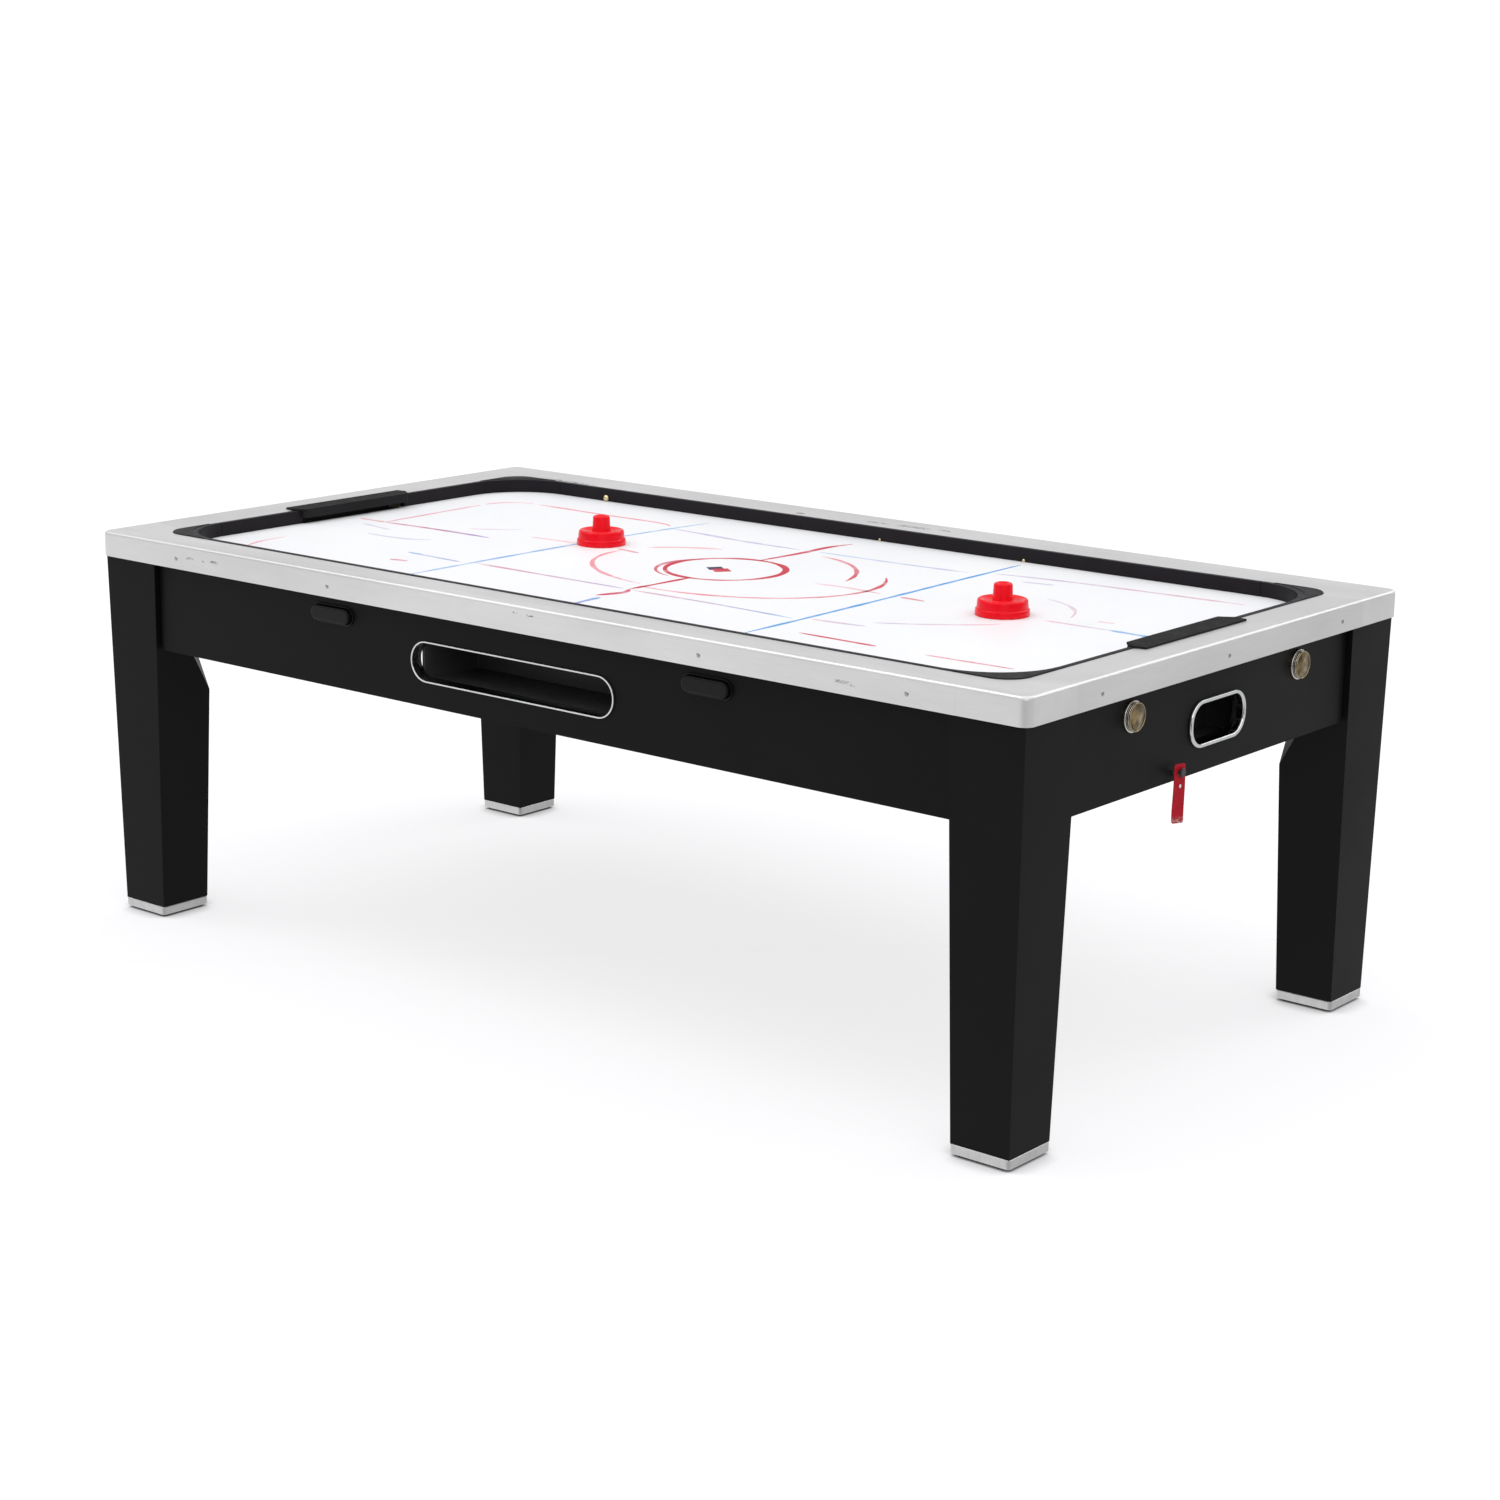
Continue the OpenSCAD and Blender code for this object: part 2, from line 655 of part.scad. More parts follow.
module power_inlet() color("#101010") turned(180) {
    difference() {
        union() {
            on_end(inlet_y, panel_z, end_face, 3) rounded_square(48, 30, 3);
            on_end(inlet_y, panel_z, end_face - 24, 24.5) square([30, 22], center = true);
        }
        on_end(inlet_y, panel_z, end_face - 17, 30) square([24, 16], center = true);
    }
    for (p = [[-7, -2], [0, 2], [7, -2]])
        on_end(inlet_y + p[0], panel_z + p[1], end_face - 18, 16) square([2, 4], center = true);
}

// ---------------------------------------------------------------- mallets

// Section of a mallet: wide lower ring, round shoulder, dished top and a post with a dimple
module mallet(place) color("red") translate([place[0], place[1], field_z + 0.1]) rotate_extrude() {
    r = mallet_d / 2;
    base_h = mallet_h / 2 + 1;
    post_r = 18;
    polygon(concat(
        [[0, 0], [r - 1.5, 0], [r, 1.5], [r - 0.8, 11.4], [r - 1.5, 12.6], [r - 3, 13.6], [r - 3, 15]],
        arc(r - 8.5, base_h - 4, 4, 10, 90, 5),
        [[r - 14, base_h - 1], [post_r + 6, base_h - 4], [post_r + 1, base_h - 2.5], [post_r - 0.3, mallet_h - 5]],
        arc(post_r - 5.3, mallet_h - 5, 5, 0, 90, 5),
        [[8, mallet_h - 0.5], [0, mallet_h - 2.5]]));
}

// ---------------------------------------------------------------- nodes

color("silver") side_rail(0);  // rail_front
color("silver") side_rail(180);  // rail_back
color("silver") end_rail(180);  // rail_left
color("silver") end_rail(0);  // rail_right
rail_corners();
rail_cores();
side_apron(0, true);  // apron_front
side_apron(180, false);  // apron_back
end_apron(180, false);  // apron_left
end_apron(0, true);  // apron_right
leg_at(0);  // leg_front_left
leg_at(1);  // leg_front_right
leg_at(2);  // leg_back_right
leg_at(3);  // leg_back_left
foot_caps();
foot_glides();
corner_blocks();
leg_bolts();
cross_braces();
playfield();
plenum_frame();
plenum_floor();
side_bumper(0);  // bumper_front
side_bumper(180);  // bumper_back
end_bumper(180);  // bumper_left
end_bumper(0);  // bumper_right
bumper_corners();
goal_hood(180);  // goal_hood_left
goal_hood(0);  // goal_hood_right
puck_box(180);  // puck_box_left
puck_box(0);  // puck_box_right
port_trim(180);  // port_trim_left
port_trim(0);  // port_trim_right
slot_trim();
storage_tray();
latch_bezels();
latch_button(0, -1);  // latch_front_left
latch_button(0, 1);  // latch_front_right
latch_button(180, 1);  // latch_back_left
latch_button(180, -1);  // latch_back_right
knob_bases();
lock_knob(0, -1);  // knob_right_front
lock_knob(0, 1);  // knob_right_back
lock_knob(180, 1);  // knob_left_front
lock_knob(180, -1);  // knob_left_back
pin_bush();
release_pin();
pin_strap();
strap_rivet();
blower_housing();
blower_motor();
blower_impeller();
blower_grille();
switch_box();
switch_rocker();
power_inlet();
trim_screws();
bumper_studs();
mallet(mallet_left);
mallet(mallet_right);
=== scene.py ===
import json
import math

import bmesh
import bpy
from mathutils import Matrix, Vector, noise


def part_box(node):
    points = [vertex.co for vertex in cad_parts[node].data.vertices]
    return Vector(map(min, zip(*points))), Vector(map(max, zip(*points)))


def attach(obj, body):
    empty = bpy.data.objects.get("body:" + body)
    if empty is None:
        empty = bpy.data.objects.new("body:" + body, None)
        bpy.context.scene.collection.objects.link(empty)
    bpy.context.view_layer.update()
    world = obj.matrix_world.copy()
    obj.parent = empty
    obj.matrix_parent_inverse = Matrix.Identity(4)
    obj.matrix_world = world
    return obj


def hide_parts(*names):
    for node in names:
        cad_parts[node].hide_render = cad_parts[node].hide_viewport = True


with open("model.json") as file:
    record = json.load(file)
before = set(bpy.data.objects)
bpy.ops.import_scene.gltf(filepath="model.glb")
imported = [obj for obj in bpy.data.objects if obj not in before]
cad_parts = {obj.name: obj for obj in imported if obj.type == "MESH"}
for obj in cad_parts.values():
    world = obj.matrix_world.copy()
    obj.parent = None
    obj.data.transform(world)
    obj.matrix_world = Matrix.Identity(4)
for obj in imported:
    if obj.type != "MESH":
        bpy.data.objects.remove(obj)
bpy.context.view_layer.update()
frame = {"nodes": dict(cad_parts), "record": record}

# ------------------------------------------------------------------ places taken from the frame

MM = 0.001
NODES = frame["nodes"]
NODE_BODY = {n: b for b, ns in frame["record"]["behaviour"]["bodies"].items() for n in ns}
NODE_SLOT = {s["node"]: s["material_slot"] for s in frame["record"]["subparts"]}

# Top of the playfield
FIELD_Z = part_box("playfield")[1].z

# Inner faces and top of the bumper strips, and the inner radius of their corners
BUMPER_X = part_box("bumper_right")[0].x
BUMPER_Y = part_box("bumper_back")[0].y
BUMPER_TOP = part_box("bumper_back")[1].z
FIELD_R = BUMPER_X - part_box("bumper_back")[1].x

# Outer faces of the long and short aprons
FRONT_FACE = -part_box("apron_front")[0].y
END_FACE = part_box("apron_right")[1].x

# Lower end of the release strap
STRAP_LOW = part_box("pin_strap")[0].z

# Corners of the table: name, and the signs of x and y
CORNERS = (("front_left", -1, -1), ("front_right", 1, -1), ("back_right", 1, 1), ("back_left", -1, 1))

# Scuffs on the rails: centre and reach along each axis, in metres
RAIL_SCUFFS = (
    ((-0.865, -0.615, 0.781), (0.014, 0.02, 0.0030)),
    ((-0.822, -0.615, 0.780), (0.006, 0.02, 0.0020)),
    ((-0.792, -0.615, 0.782), (0.014, 0.02, 0.0030)),
    ((0.032, -0.615, 0.792), (0.008, 0.02, 0.0022)),
    ((0.069, -0.615, 0.791), (0.010, 0.02, 0.0025)),
    ((0.775, -0.615, 0.776), (0.018, 0.02, 0.0035)),
    ((0.797, -0.615, 0.773), (0.006, 0.02, 0.0020)),
    ((-0.234, 0.546, 0.806), (0.016, 0.008, 0.02)),
    ((-0.035, 0.559, 0.806), (0.034, 0.006, 0.02)),
    ((0.055, 0.564, 0.806), (0.050, 0.009, 0.02)),
    ((0.130, 0.571, 0.806), (0.022, 0.005, 0.02)),
    ((-0.900, 0.535, 0.806), (0.090, 0.010, 0.02)),
)


# ------------------------------------------------------------------ camera, light and floor

LENS, SENSOR = 70.98, 36.0
CAMERA_PLACE = (3.6641, -4.3971, 1.8355)
CAMERA_TURN = (40.382, 14.248, 0.414)  # yaw, pitch below level and roll, in degrees
CAMERA_SHIFT = (0.0403, 0.0117)
CAMERA_REACH = 200.0

# Suns: name, direction that the light comes from, width in degrees, strength
SUNS = (
    ("key", (0.22, -0.22, 0.95), 100, 2.2),
    ("edge_long", (-0.58, -0.23, 0.75), 30, 0.45),
    ("edge_short", (0.23, 0.77, 0.56), 32, 0.50),
    ("fill", (0.70, -0.66, 0.25), 40, 0.34),
)

# Sky tones between straight down (0) and straight up (1); the horizon is at 0.5
SKY_BELOW, SKY_ZENITH = (1.0, 1.0, 1.0, 1), (0.38, 0.38, 0.383, 1)
SKY_BANDS = ((0.515, 1.0), (0.55, 0.56), (0.72, 0.50))
SKY_COOLNESS = 1.005
SKY_STRENGTH = 1.02
SKY_SIDES = (1.08, 0.58)  # factors on the sky's tone toward -x and +x
DARK_PATCH = (0.60, -0.75, 0.28)  # direction of the patch's middle
DARK_EDGES = (0.70, 0.92)  # cosines from the middle where the patch begins and is full
DARK_TONE = 0.12
BACKDROP_STRENGTH = 1.05

FLOOR_REACH = 900.0
FLOOR_GLOW = 0.71
TOUCH_REACH = 0.06  # how far the floor's glow fades round what stands on it


def make_camera():
    """Camera that looks down on the table from beyond its front right corner."""
    yaw, pitch, roll = (math.radians(a) for a in CAMERA_TURN)
    forward = Vector((-math.sin(yaw) * math.cos(pitch), math.cos(yaw) * math.cos(pitch), -math.sin(pitch)))
    level = Vector((math.cos(yaw), math.sin(yaw), 0.0))
    up = level.cross(forward)
    right = level * math.cos(roll) + up * math.sin(roll)
    up = up * math.cos(roll) - level * math.sin(roll)
    data = bpy.data.cameras.new("camera")
    data.lens, data.sensor_width = LENS, SENSOR
    data.shift_x, data.shift_y = CAMERA_SHIFT
    data.clip_end = CAMERA_REACH
    camera = bpy.data.objects.new("camera", data)
    rows = Matrix((right, up, -forward)).transposed()
    camera.matrix_world = Matrix.Translation(CAMERA_PLACE) @ rows.to_4x4()
    bpy.context.scene.collection.objects.link(camera)
    bpy.context.scene.camera = camera


def sun_light(name, source, spread, strength):
    """A soft sun that shines from the source direction; spread is its width in degrees."""
    data = bpy.data.lights.new(name, "SUN")
    data.energy, data.angle = strength, math.radians(spread)
    light = bpy.data.objects.new(name, data)
    light.rotation_euler = Vector(source).to_track_quat("Z", "Y").to_euler()
    bpy.context.scene.collection.objects.link(light)


def make_world():
    """A sky for light and reflections, and a plain white backdrop for the camera.

    The sky is white below and at the horizon, grey above, greyer toward +x and dark behind the camera."""
    world = bpy.data.worlds.new("studio")
    bpy.context.scene.world = world
    world.use_nodes = True
    tree = world.node_tree
    tree.nodes.clear()

    def node(kind, **values):
        made = tree.nodes.new(kind)
        for key, value in values.items():
            if hasattr(made, key):
                setattr(made, key, value)
            else:
                made.inputs[key.replace("_", " ")].default_value = value
        return made

    coords = node("ShaderNodeTexCoord")
    split = node("ShaderNodeSeparateXYZ")
    level = node("ShaderNodeMapRange", From_Min=-1.0)
    ramp = node("ShaderNodeValToRGB")
    elements = ramp.color_ramp.elements
    elements[0].position, elements[0].color = 0.0, SKY_BELOW
    elements[1].position, elements[1].color = 1.0, SKY_ZENITH
    for height, tone in SKY_BANDS:
        elements.new(height).color = (tone, tone, tone * SKY_COOLNESS, 1)
    left, right = SKY_SIDES
    side = node("ShaderNodeMapRange", From_Min=-1.0, From_Max=1.0, To_Min=left, To_Max=right)
    dark = node("ShaderNodeVectorMath", operation="DOT_PRODUCT")
    dark.inputs[1].default_value = Vector(DARK_PATCH).normalized()
    begin, full = DARK_EDGES
    fade = node("ShaderNodeMapRange", From_Min=begin, From_Max=full, To_Min=1.0, To_Max=DARK_TONE)
    factor = node("ShaderNodeMath", operation="MULTIPLY")
    shade = node("ShaderNodeMix", data_type="RGBA", blend_type="MULTIPLY")
    shade.inputs["Factor"].default_value = 1.0
    sky = node("ShaderNodeBackground", Strength=SKY_STRENGTH)
    backdrop = node("ShaderNodeBackground", Color=(1.0, 1.0, 1.0, 1), Strength=BACKDROP_STRENGTH)
    rays = node("ShaderNodeLightPath")
    choose = node("ShaderNodeMixShader")
    out = node("ShaderNodeOutputWorld")
    links = (
        (coords.outputs["Generated"], split.inputs[0]),
        (split.outputs["Z"], level.inputs["Value"]),
        (level.outputs[0], ramp.inputs[0]),
        (split.outputs["X"], side.inputs["Value"]),
        (coords.outputs["Generated"], dark.inputs[0]),
        (dark.outputs["Value"], fade.inputs["Value"]),
        (side.outputs[0], factor.inputs[0]),
        (fade.outputs[0], factor.inputs[1]),
        (ramp.outputs[0], shade.inputs["A"]),
        (factor.outputs[0], shade.inputs["B"]),
        (shade.outputs["Result"], sky.inputs["Color"]),
        (rays.outputs["Is Camera Ray"], choose.inputs[0]),
        (sky.outputs[0], choose.inputs[1]),
        (backdrop.outputs[0], choose.inputs[2]),
        (choose.outputs[0], out.inputs["Surface"]),
    )
    for start, end in links:
        tree.links.new(start, end)


def make_floor():
    """Pale floor whose glow fades close to what stands on it: a painted contact shadow."""
    r = FLOOR_REACH
    mesh = bpy.data.meshes.new("floor")
    mesh.from_pydata([(-r, -r, 0), (r, -r, 0), (r, r, 0), (-r, r, 0)], [], [(0, 1, 2, 3)])
    floor = bpy.data.objects.new("floor", mesh)
    bpy.context.scene.collection.objects.link(floor)
    paint = Paint("studio_floor", (0.30, 0.30, 0.305), 0.9)
    paint.socket("Specular IOR Level", 0.1)
    paint.socket("Emission Color", (1.0, 1.0, 1.02, 1))
    # Ambient occlusion cuts the floor's glow beside the feet and legs: painted contact shadow.
    painted_contact_shade = paint.node("ShaderNodeAmbientOcclusion")
    painted_contact_shade.samples = 16
    painted_contact_shade.inputs["Distance"].default_value = TOUCH_REACH
    glow = paint.remap(painted_contact_shade.outputs["AO"], 0.15, 0.85, 0.0, FLOOR_GLOW)
    paint.link(glow, paint.shader.inputs["Emission Strength"])
    floor.data.materials.append(paint.material)
    floor.visible_diffuse = False
    floor.visible_glossy = False


def make_studio():
    """Soft light, a pale floor and colours without a film look."""
    bpy.context.scene.view_settings.view_transform = "Standard"
    make_world()
    for name, source, spread, strength in SUNS:
        sun_light(name, source, spread, strength)
    make_floor()


# ------------------------------------------------------------------ materials

class Paint:
    """A Principled material with helpers for variation over the surface, in the object's own metres."""

    def __init__(self, name, color, roughness, metallic=0.0):
        self.material = bpy.data.materials.new(name)
        self.material.use_nodes = True
        self.tree = self.material.node_tree
        self.shader = self.tree.nodes["Principled BSDF"]
        self.place = self.node("ShaderNodeTexCoord").outputs["Object"]
        self.color = tuple(color) + (1,)
        self.socket("Base Color", self.color)
        self.socket("Roughness", roughness)
        self.socket("Metallic", metallic)
        self.base = None
        self.height = None

    def node(self, kind):
        return self.tree.nodes.new(kind)

    def link(self, a, b):
        self.tree.links.new(a, b)

    def socket(self, name, value):
        self.shader.inputs[name].default_value = value

    def noise(self, scale, stretch=(1, 1, 1), detail=4.0, rough=0.55, offset=0.0):
        """Noise with features about 1/scale metres wide, from 0 to 1."""
        mapping = self.node("ShaderNodeMapping")
        mapping.inputs["Scale"].default_value = stretch
        mapping.inputs["Location"].default_value = (offset, offset, offset)
        self.link(self.place, mapping.inputs["Vector"])
        n = self.node("ShaderNodeTexNoise")
        n.inputs["Scale"].default_value = scale
        n.inputs["Detail"].default_value = detail
        n.inputs["Roughness"].default_value = rough
        self.link(mapping.outputs[0], n.inputs["Vector"])
        return n.outputs["Fac"]

    def math(self, op, a, b=None):
        m = self.node("ShaderNodeMath")
        m.operation = op
        for i, v in enumerate((a, b)):
            if v is None:
                continue
            if isinstance(v, (int, float)):
                m.inputs[i].default_value = v
            else:
                self.link(v, m.inputs[i])
        return m.outputs[0]

    def remap(self, value, low, high, out_low=0.0, out_high=1.0):
        m = self.node("ShaderNodeMapRange")
        self.link(value, m.inputs["Value"])
        for key, v in (("From Min", low), ("From Max", high), ("To Min", out_low), ("To Max", out_high)):
            m.inputs[key].default_value = v
        return m.outputs[0]

    def axes(self):
        split = self.node("ShaderNodeSeparateXYZ")
        self.link(self.place, split.inputs[0])
        return split.outputs

    def mix(self, factor, other):
        """Mixes another colour over the base colour by factor."""
        m = self.node("ShaderNodeMix")
        m.data_type = "RGBA"
        self.link(factor, m.inputs["Factor"])
        if self.base is None:
            m.inputs["A"].default_value = self.color
        else:
            self.link(self.base, m.inputs["A"])
        if isinstance(other, tuple):
            m.inputs["B"].default_value = other + (1,)
        else:
            self.link(other, m.inputs["B"])
        self.base = m.outputs["Result"]
        self.link(self.base, self.shader.inputs["Base Color"])

    def vary_roughness(self, value, low, high):
        self.link(self.remap(value, 0.25, 0.75, low, high), self.shader.inputs["Roughness"])

    def bump(self, height, distance, strength=1.0):
        b = self.node("ShaderNodeBump")
        b.inputs["Strength"].default_value = strength
        b.inputs["Distance"].default_value = distance
        self.link(height, b.inputs["Height"])
        if self.height is not None:
            self.link(self.height, b.inputs["Normal"])
        self.height = b.outputs["Normal"]
        self.link(self.height, self.shader.inputs["Normal"])


def near(paint, value, centre, reach):
    """1 at centre, falling to 0 at reach either side."""
    gap = paint.math("ABSOLUTE", paint.math("SUBTRACT", value, centre))
    return paint.remap(gap, reach * 0.5, reach, 1.0, 0.0)


def rail_paint(name, along_x, tone=1.0):
    """Satin silver: fine brushing along the rail, cloudy tone and a few scuffs; a tone below 1 gives a
    darker copy, a painted shade.
    """
    p = Paint(name, (0.65 * tone, 0.65 * tone, 0.655 * tone), 0.36, 0.42)
    p.socket("Specular IOR Level", 0.5)
    stretch = (0.02, 1, 1) if along_x else (1, 0.02, 1)
    brushed = p.noise(800, stretch, 3)
    drift = p.noise(9, (0.25, 1, 1) if along_x else (1, 0.25, 1), 4)
    p.mix(p.remap(drift, 0.3, 0.7), (0.76 * tone, 0.76 * tone, 0.76 * tone))
    p.mix(p.remap(brushed, 0.45, 0.8, 0.0, 0.25), (0.50, 0.50, 0.505))
    axes = p.axes()
    worn = None
    for (x, y, z), (dx, dy, dz) in RAIL_SCUFFS:
        spot = p.math("MULTIPLY", near(p, axes["X"], x, dx), near(p, axes["Y"], y, dy))
        spot = p.math("MULTIPLY", spot, near(p, axes["Z"], z, dz))
        marks = p.noise(420, (0.25, 0.6, 1), 4, 0.7, x * 10)
        spot = p.math("MULTIPLY", spot, p.remap(marks, 0.46, 0.56))
        worn = spot if worn is None else p.math("MAXIMUM", worn, spot)
    p.mix(p.math("MULTIPLY", worn, 0.85), (0.05, 0.05, 0.05))
    p.vary_roughness(drift, 0.30, 0.40)
    p.bump(brushed, 0.00003, 0.3)
    p.bump(worn, 0.00012, 0.5)
    return p.material


def black_panel_paint():
    """Satin black laminate with a faint grain and a little dust."""
    p = Paint("black_panel", (0.0058, 0.0053, 0.0055), 0.42)
    p.socket("IOR", 1.17)
    grain = p.noise(420, (0.5, 0.5, 1), 4, 0.6)
    clouds = p.noise(5, detail=4)
    p.mix(p.remap(clouds, 0.35, 0.75, 0, 0.5), (0.0085, 0.0080, 0.0082))
    dust = p.math("MULTIPLY", p.remap(p.noise(420, detail=4), 0.72, 0.76), p.remap(clouds, 0.5, 0.7))
    p.mix(p.math("MULTIPLY", dust, 0.15), (0.10, 0.10, 0.10))
    p.vary_roughness(clouds, 0.36, 0.48)
    p.bump(grain, 0.00004, 0.25)
    return p.material


def plain_paint(name, color, roughness, tone=1.35, scale=300, depth=0.00003, ior=1.45, coat=0.0):
    """Moulded or painted surface: slight tone change and a fine texture."""
    p = Paint(name, color, roughness)
    p.socket("IOR", ior)
    p.socket("Coat Weight", coat)
    p.socket("Coat Roughness", 0.08)
    clouds = p.noise(14, detail=4)
    p.mix(p.remap(clouds, 0.35, 0.7, 0, 0.7), tuple(min(c * tone, 1.0) for c in color))
    p.vary_roughness(p.noise(60, detail=3), roughness * 0.85, min(roughness * 1.2, 1))
    p.bump(p.noise(scale, detail=3), depth, 0.5)
    return p.material


def metal_paint(name, color, roughness, scale=700, stretch=(1, 1, 1), depth=0.00002):
    """Bare or plated metal with fine marks."""
    p = Paint(name, color, roughness, 1.0)
    marks = p.noise(scale, stretch, 3)
    clouds = p.noise(40, detail=4)
    p.mix(p.remap(clouds, 0.4, 0.75, 0, 0.6), tuple(c * 0.8 for c in color))
    p.vary_roughness(marks, roughness * 0.7, roughness * 1.4)
    p.bump(marks, depth, 0.4)
    return p.material


def dark_reflection_brass_paint():
    """Brass in a dark tone, a painted reflection of dark surroundings, with darker patches."""
    # The dark base tone paints a reflection of dark surroundings in the mirror face.
    p = Paint("brass_face", (0.36, 0.27, 0.14), 0.26, 1.0)
    patches = p.noise(55, detail=3)
    p.mix(p.remap(patches, 0.38, 0.60, 0.0, 0.9), (0.075, 0.055, 0.030))
    marks = p.noise(500, detail=3)
    p.vary_roughness(marks, 0.2, 0.36)
    p.bump(marks, 0.00002, 0.4)
    return p.material


def wood_paint():
    """Bare board: stretched fibres and pores."""
    p = Paint("raw_wood", (0.34, 0.27, 0.20), 0.75)
    fibre = p.noise(90, (0.06, 1, 1), 6, 0.65)
    p.mix(p.remap(fibre, 0.35, 0.7), (0.44, 0.36, 0.27))
    p.mix(p.remap(p.noise(900, (0.2, 1, 1), 2), 0.6, 0.75, 0, 0.5), (0.22, 0.16, 0.11))
    p.bump(fibre, 0.0002, 0.5)
    return p.material


def field_paint():
    """White laminate: faint mottling and grey smears, with rows of dark dots for the fine air holes, a
    painted shade of their insides.
    """
    p = Paint("white_field", (0.84, 0.845, 0.87), 0.42)
    p.socket("IOR", 1.30)
    clouds = p.noise(2.2, (1, 1, 1), 4)
    smears = p.noise(9, (1, 0.35, 1), 5, 0.6, 2.0)
    p.mix(p.remap(clouds, 0.35, 0.7, 0, 0.8), (0.87, 0.875, 0.89))
    p.mix(p.remap(smears, 0.60, 0.78, 0, 0.15), (0.60, 0.62, 0.67))
    axes = p.axes()
    pitch, hole = 25.4 * MM, 0.5 * MM
    gaps = []
    for axis in ("X", "Y"):
        wrapped = p.math("PINGPONG", axes[axis], pitch / 2)
        gaps.append(p.math("MULTIPLY", wrapped, wrapped))
    apart = p.math("SQRT", p.math("ADD", gaps[0], gaps[1]))
    # Dark dots where the air holes are: painted shade inside the holes.
    painted_hole_shade = p.remap(apart, hole * 0.8, hole * 1.3, 1.0, 0.0)
    p.mix(p.math("MULTIPLY", painted_hole_shade, 0.55), (0.05, 0.05, 0.06))
    p.vary_roughness(clouds, 0.36, 0.48)
    return p.material


def ink_paint():
    """Printed lines: each stroke's own colour, worn thin in places."""
    p = Paint("field_ink", (0.86, 0.865, 0.885), 0.42)
    p.socket("IOR", 1.30)
    ink = p.node("ShaderNodeVertexColor")
    ink.layer_name = "ink"
    worn = p.noise(24, (1, 1, 1), 5, 0.7)
    cover = p.math("MULTIPLY", ink.outputs["Alpha"], p.remap(worn, 0.30, 0.52, 0.75, 1.30))
    p.mix(cover, ink.outputs["Color"])
    return p.material


def strap_paint():
    """Red coated webbing: woven ribs, paler where it has been rubbed."""
    p = Paint("red_webbing", (0.50, 0.004, 0.018), 0.5)
    p.socket("IOR", 1.35)
    axes = p.axes()
    threads = 5200.0
    warp = p.math("SINE", p.math("MULTIPLY", axes["Y"], threads))
    weft = p.math("SINE", p.math("MULTIPLY", axes["Z"], threads))
    weave = p.math("MULTIPLY", warp, weft)
    blotch = p.noise(70, detail=5)
    p.mix(p.remap(blotch, 0.4, 0.7, 0, 0.6), (0.34, 0.002, 0.010))
    ends = p.remap(axes["Z"], STRAP_LOW + 0.002, STRAP_LOW + 0.014, 1.0, 0.0)
    rubbed = p.math("MULTIPLY", ends, p.remap(p.noise(160, detail=4), 0.45, 0.6))
    p.mix(p.math("MULTIPLY", rubbed, 0.85), (0.62, 0.52, 0.50))
    p.bump(weave, 0.00008, 0.6)
    p.bump(blotch, 0.0002, 0.3)
    return p.material


def mallet_paint():
    """Glossy red moulded plastic with light scuffs round the base."""
    p = Paint("mallet_red", (0.86, 0.0025, 0.014), 0.22)
    p.socket("IOR", 1.28)
    clouds = p.noise(30, detail=3)
    p.mix(p.remap(clouds, 0.35, 0.75, 0, 0.8), (0.78, 0.0018, 0.010))
    axes = p.axes()
    low = p.remap(axes["Z"], FIELD_Z + 0.003, FIELD_Z + 0.010, 1.0, 0.0)
    scuffs = p.math("MULTIPLY", low, p.remap(p.noise(380, (1, 1, 0.3), 4), 0.60, 0.68))
    p.mix(p.math("MULTIPLY", scuffs, 0.2), (0.85, 0.30, 0.30))
    p.vary_roughness(p.noise(90, detail=2), 0.18, 0.28)
    return p.material


# ------------------------------------------------------------------ shapes

def add_piece(name, mesh, body, slot, *replaced):
    """Links a mesh as a piece that rides on a body and takes the place of CAD nodes.

    The slot is a slot's name, or a slot's name with a material of its own."""
    piece = bpy.data.objects.new(name, mesh)
    bpy.context.scene.collection.objects.link(piece)
    mesh.materials.append(MATERIALS[slot] if isinstance(slot, str) else slot[1])
    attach(piece, body)
    if replaced:
        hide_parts(*replaced)
    return piece


def build_mesh(name, verts, faces, smooth=True):
    """A mesh whose normals all point outward."""
    mesh = bpy.data.meshes.new(name)
    mesh.from_pydata(verts, [], faces)
    mesh.validate()
    bm = bmesh.new()
    bm.from_mesh(mesh)
    bmesh.ops.recalc_face_normals(bm, faces=bm.faces)
    bm.to_mesh(mesh)
    bm.free()
    mesh.polygons.foreach_set("use_smooth", [smooth] * len(mesh.polygons))
    return mesh


def round_edges(piece, width, segments=3, angle=30, by_weight=False):
    """Bevels a piece's sharp edges and keeps its flat faces flat under smooth shading."""
    if width:
        bevel = piece.modifiers.new("edges", "BEVEL")
        bevel.width, bevel.segments = width * MM, segments
        bevel.limit_method, bevel.angle_limit = "WEIGHT" if by_weight else "ANGLE", math.radians(angle)
        bevel.harden_normals = False
    normals = piece.modifiers.new("normals", "WEIGHTED_NORMAL")
    normals.keep_sharp = True
    normals.weight = 80
    return piece


def weigh_edges(bm, angle, others):
    """Gives the sharp upright edges their full bevel, and the other sharp edges a part of it."""
    weights = bm.edges.layers.float.new("bevel_weight_edge")
    for edge in bm.edges:
        run = edge.verts[1].co - edge.verts[0].co
        sharp = len(edge.link_faces) == 2 and edge.calc_face_angle(0) > math.radians(angle)
        if sharp:
            edge[weights] = 1.0 if abs(run.z) > 0.9 * run.length else others


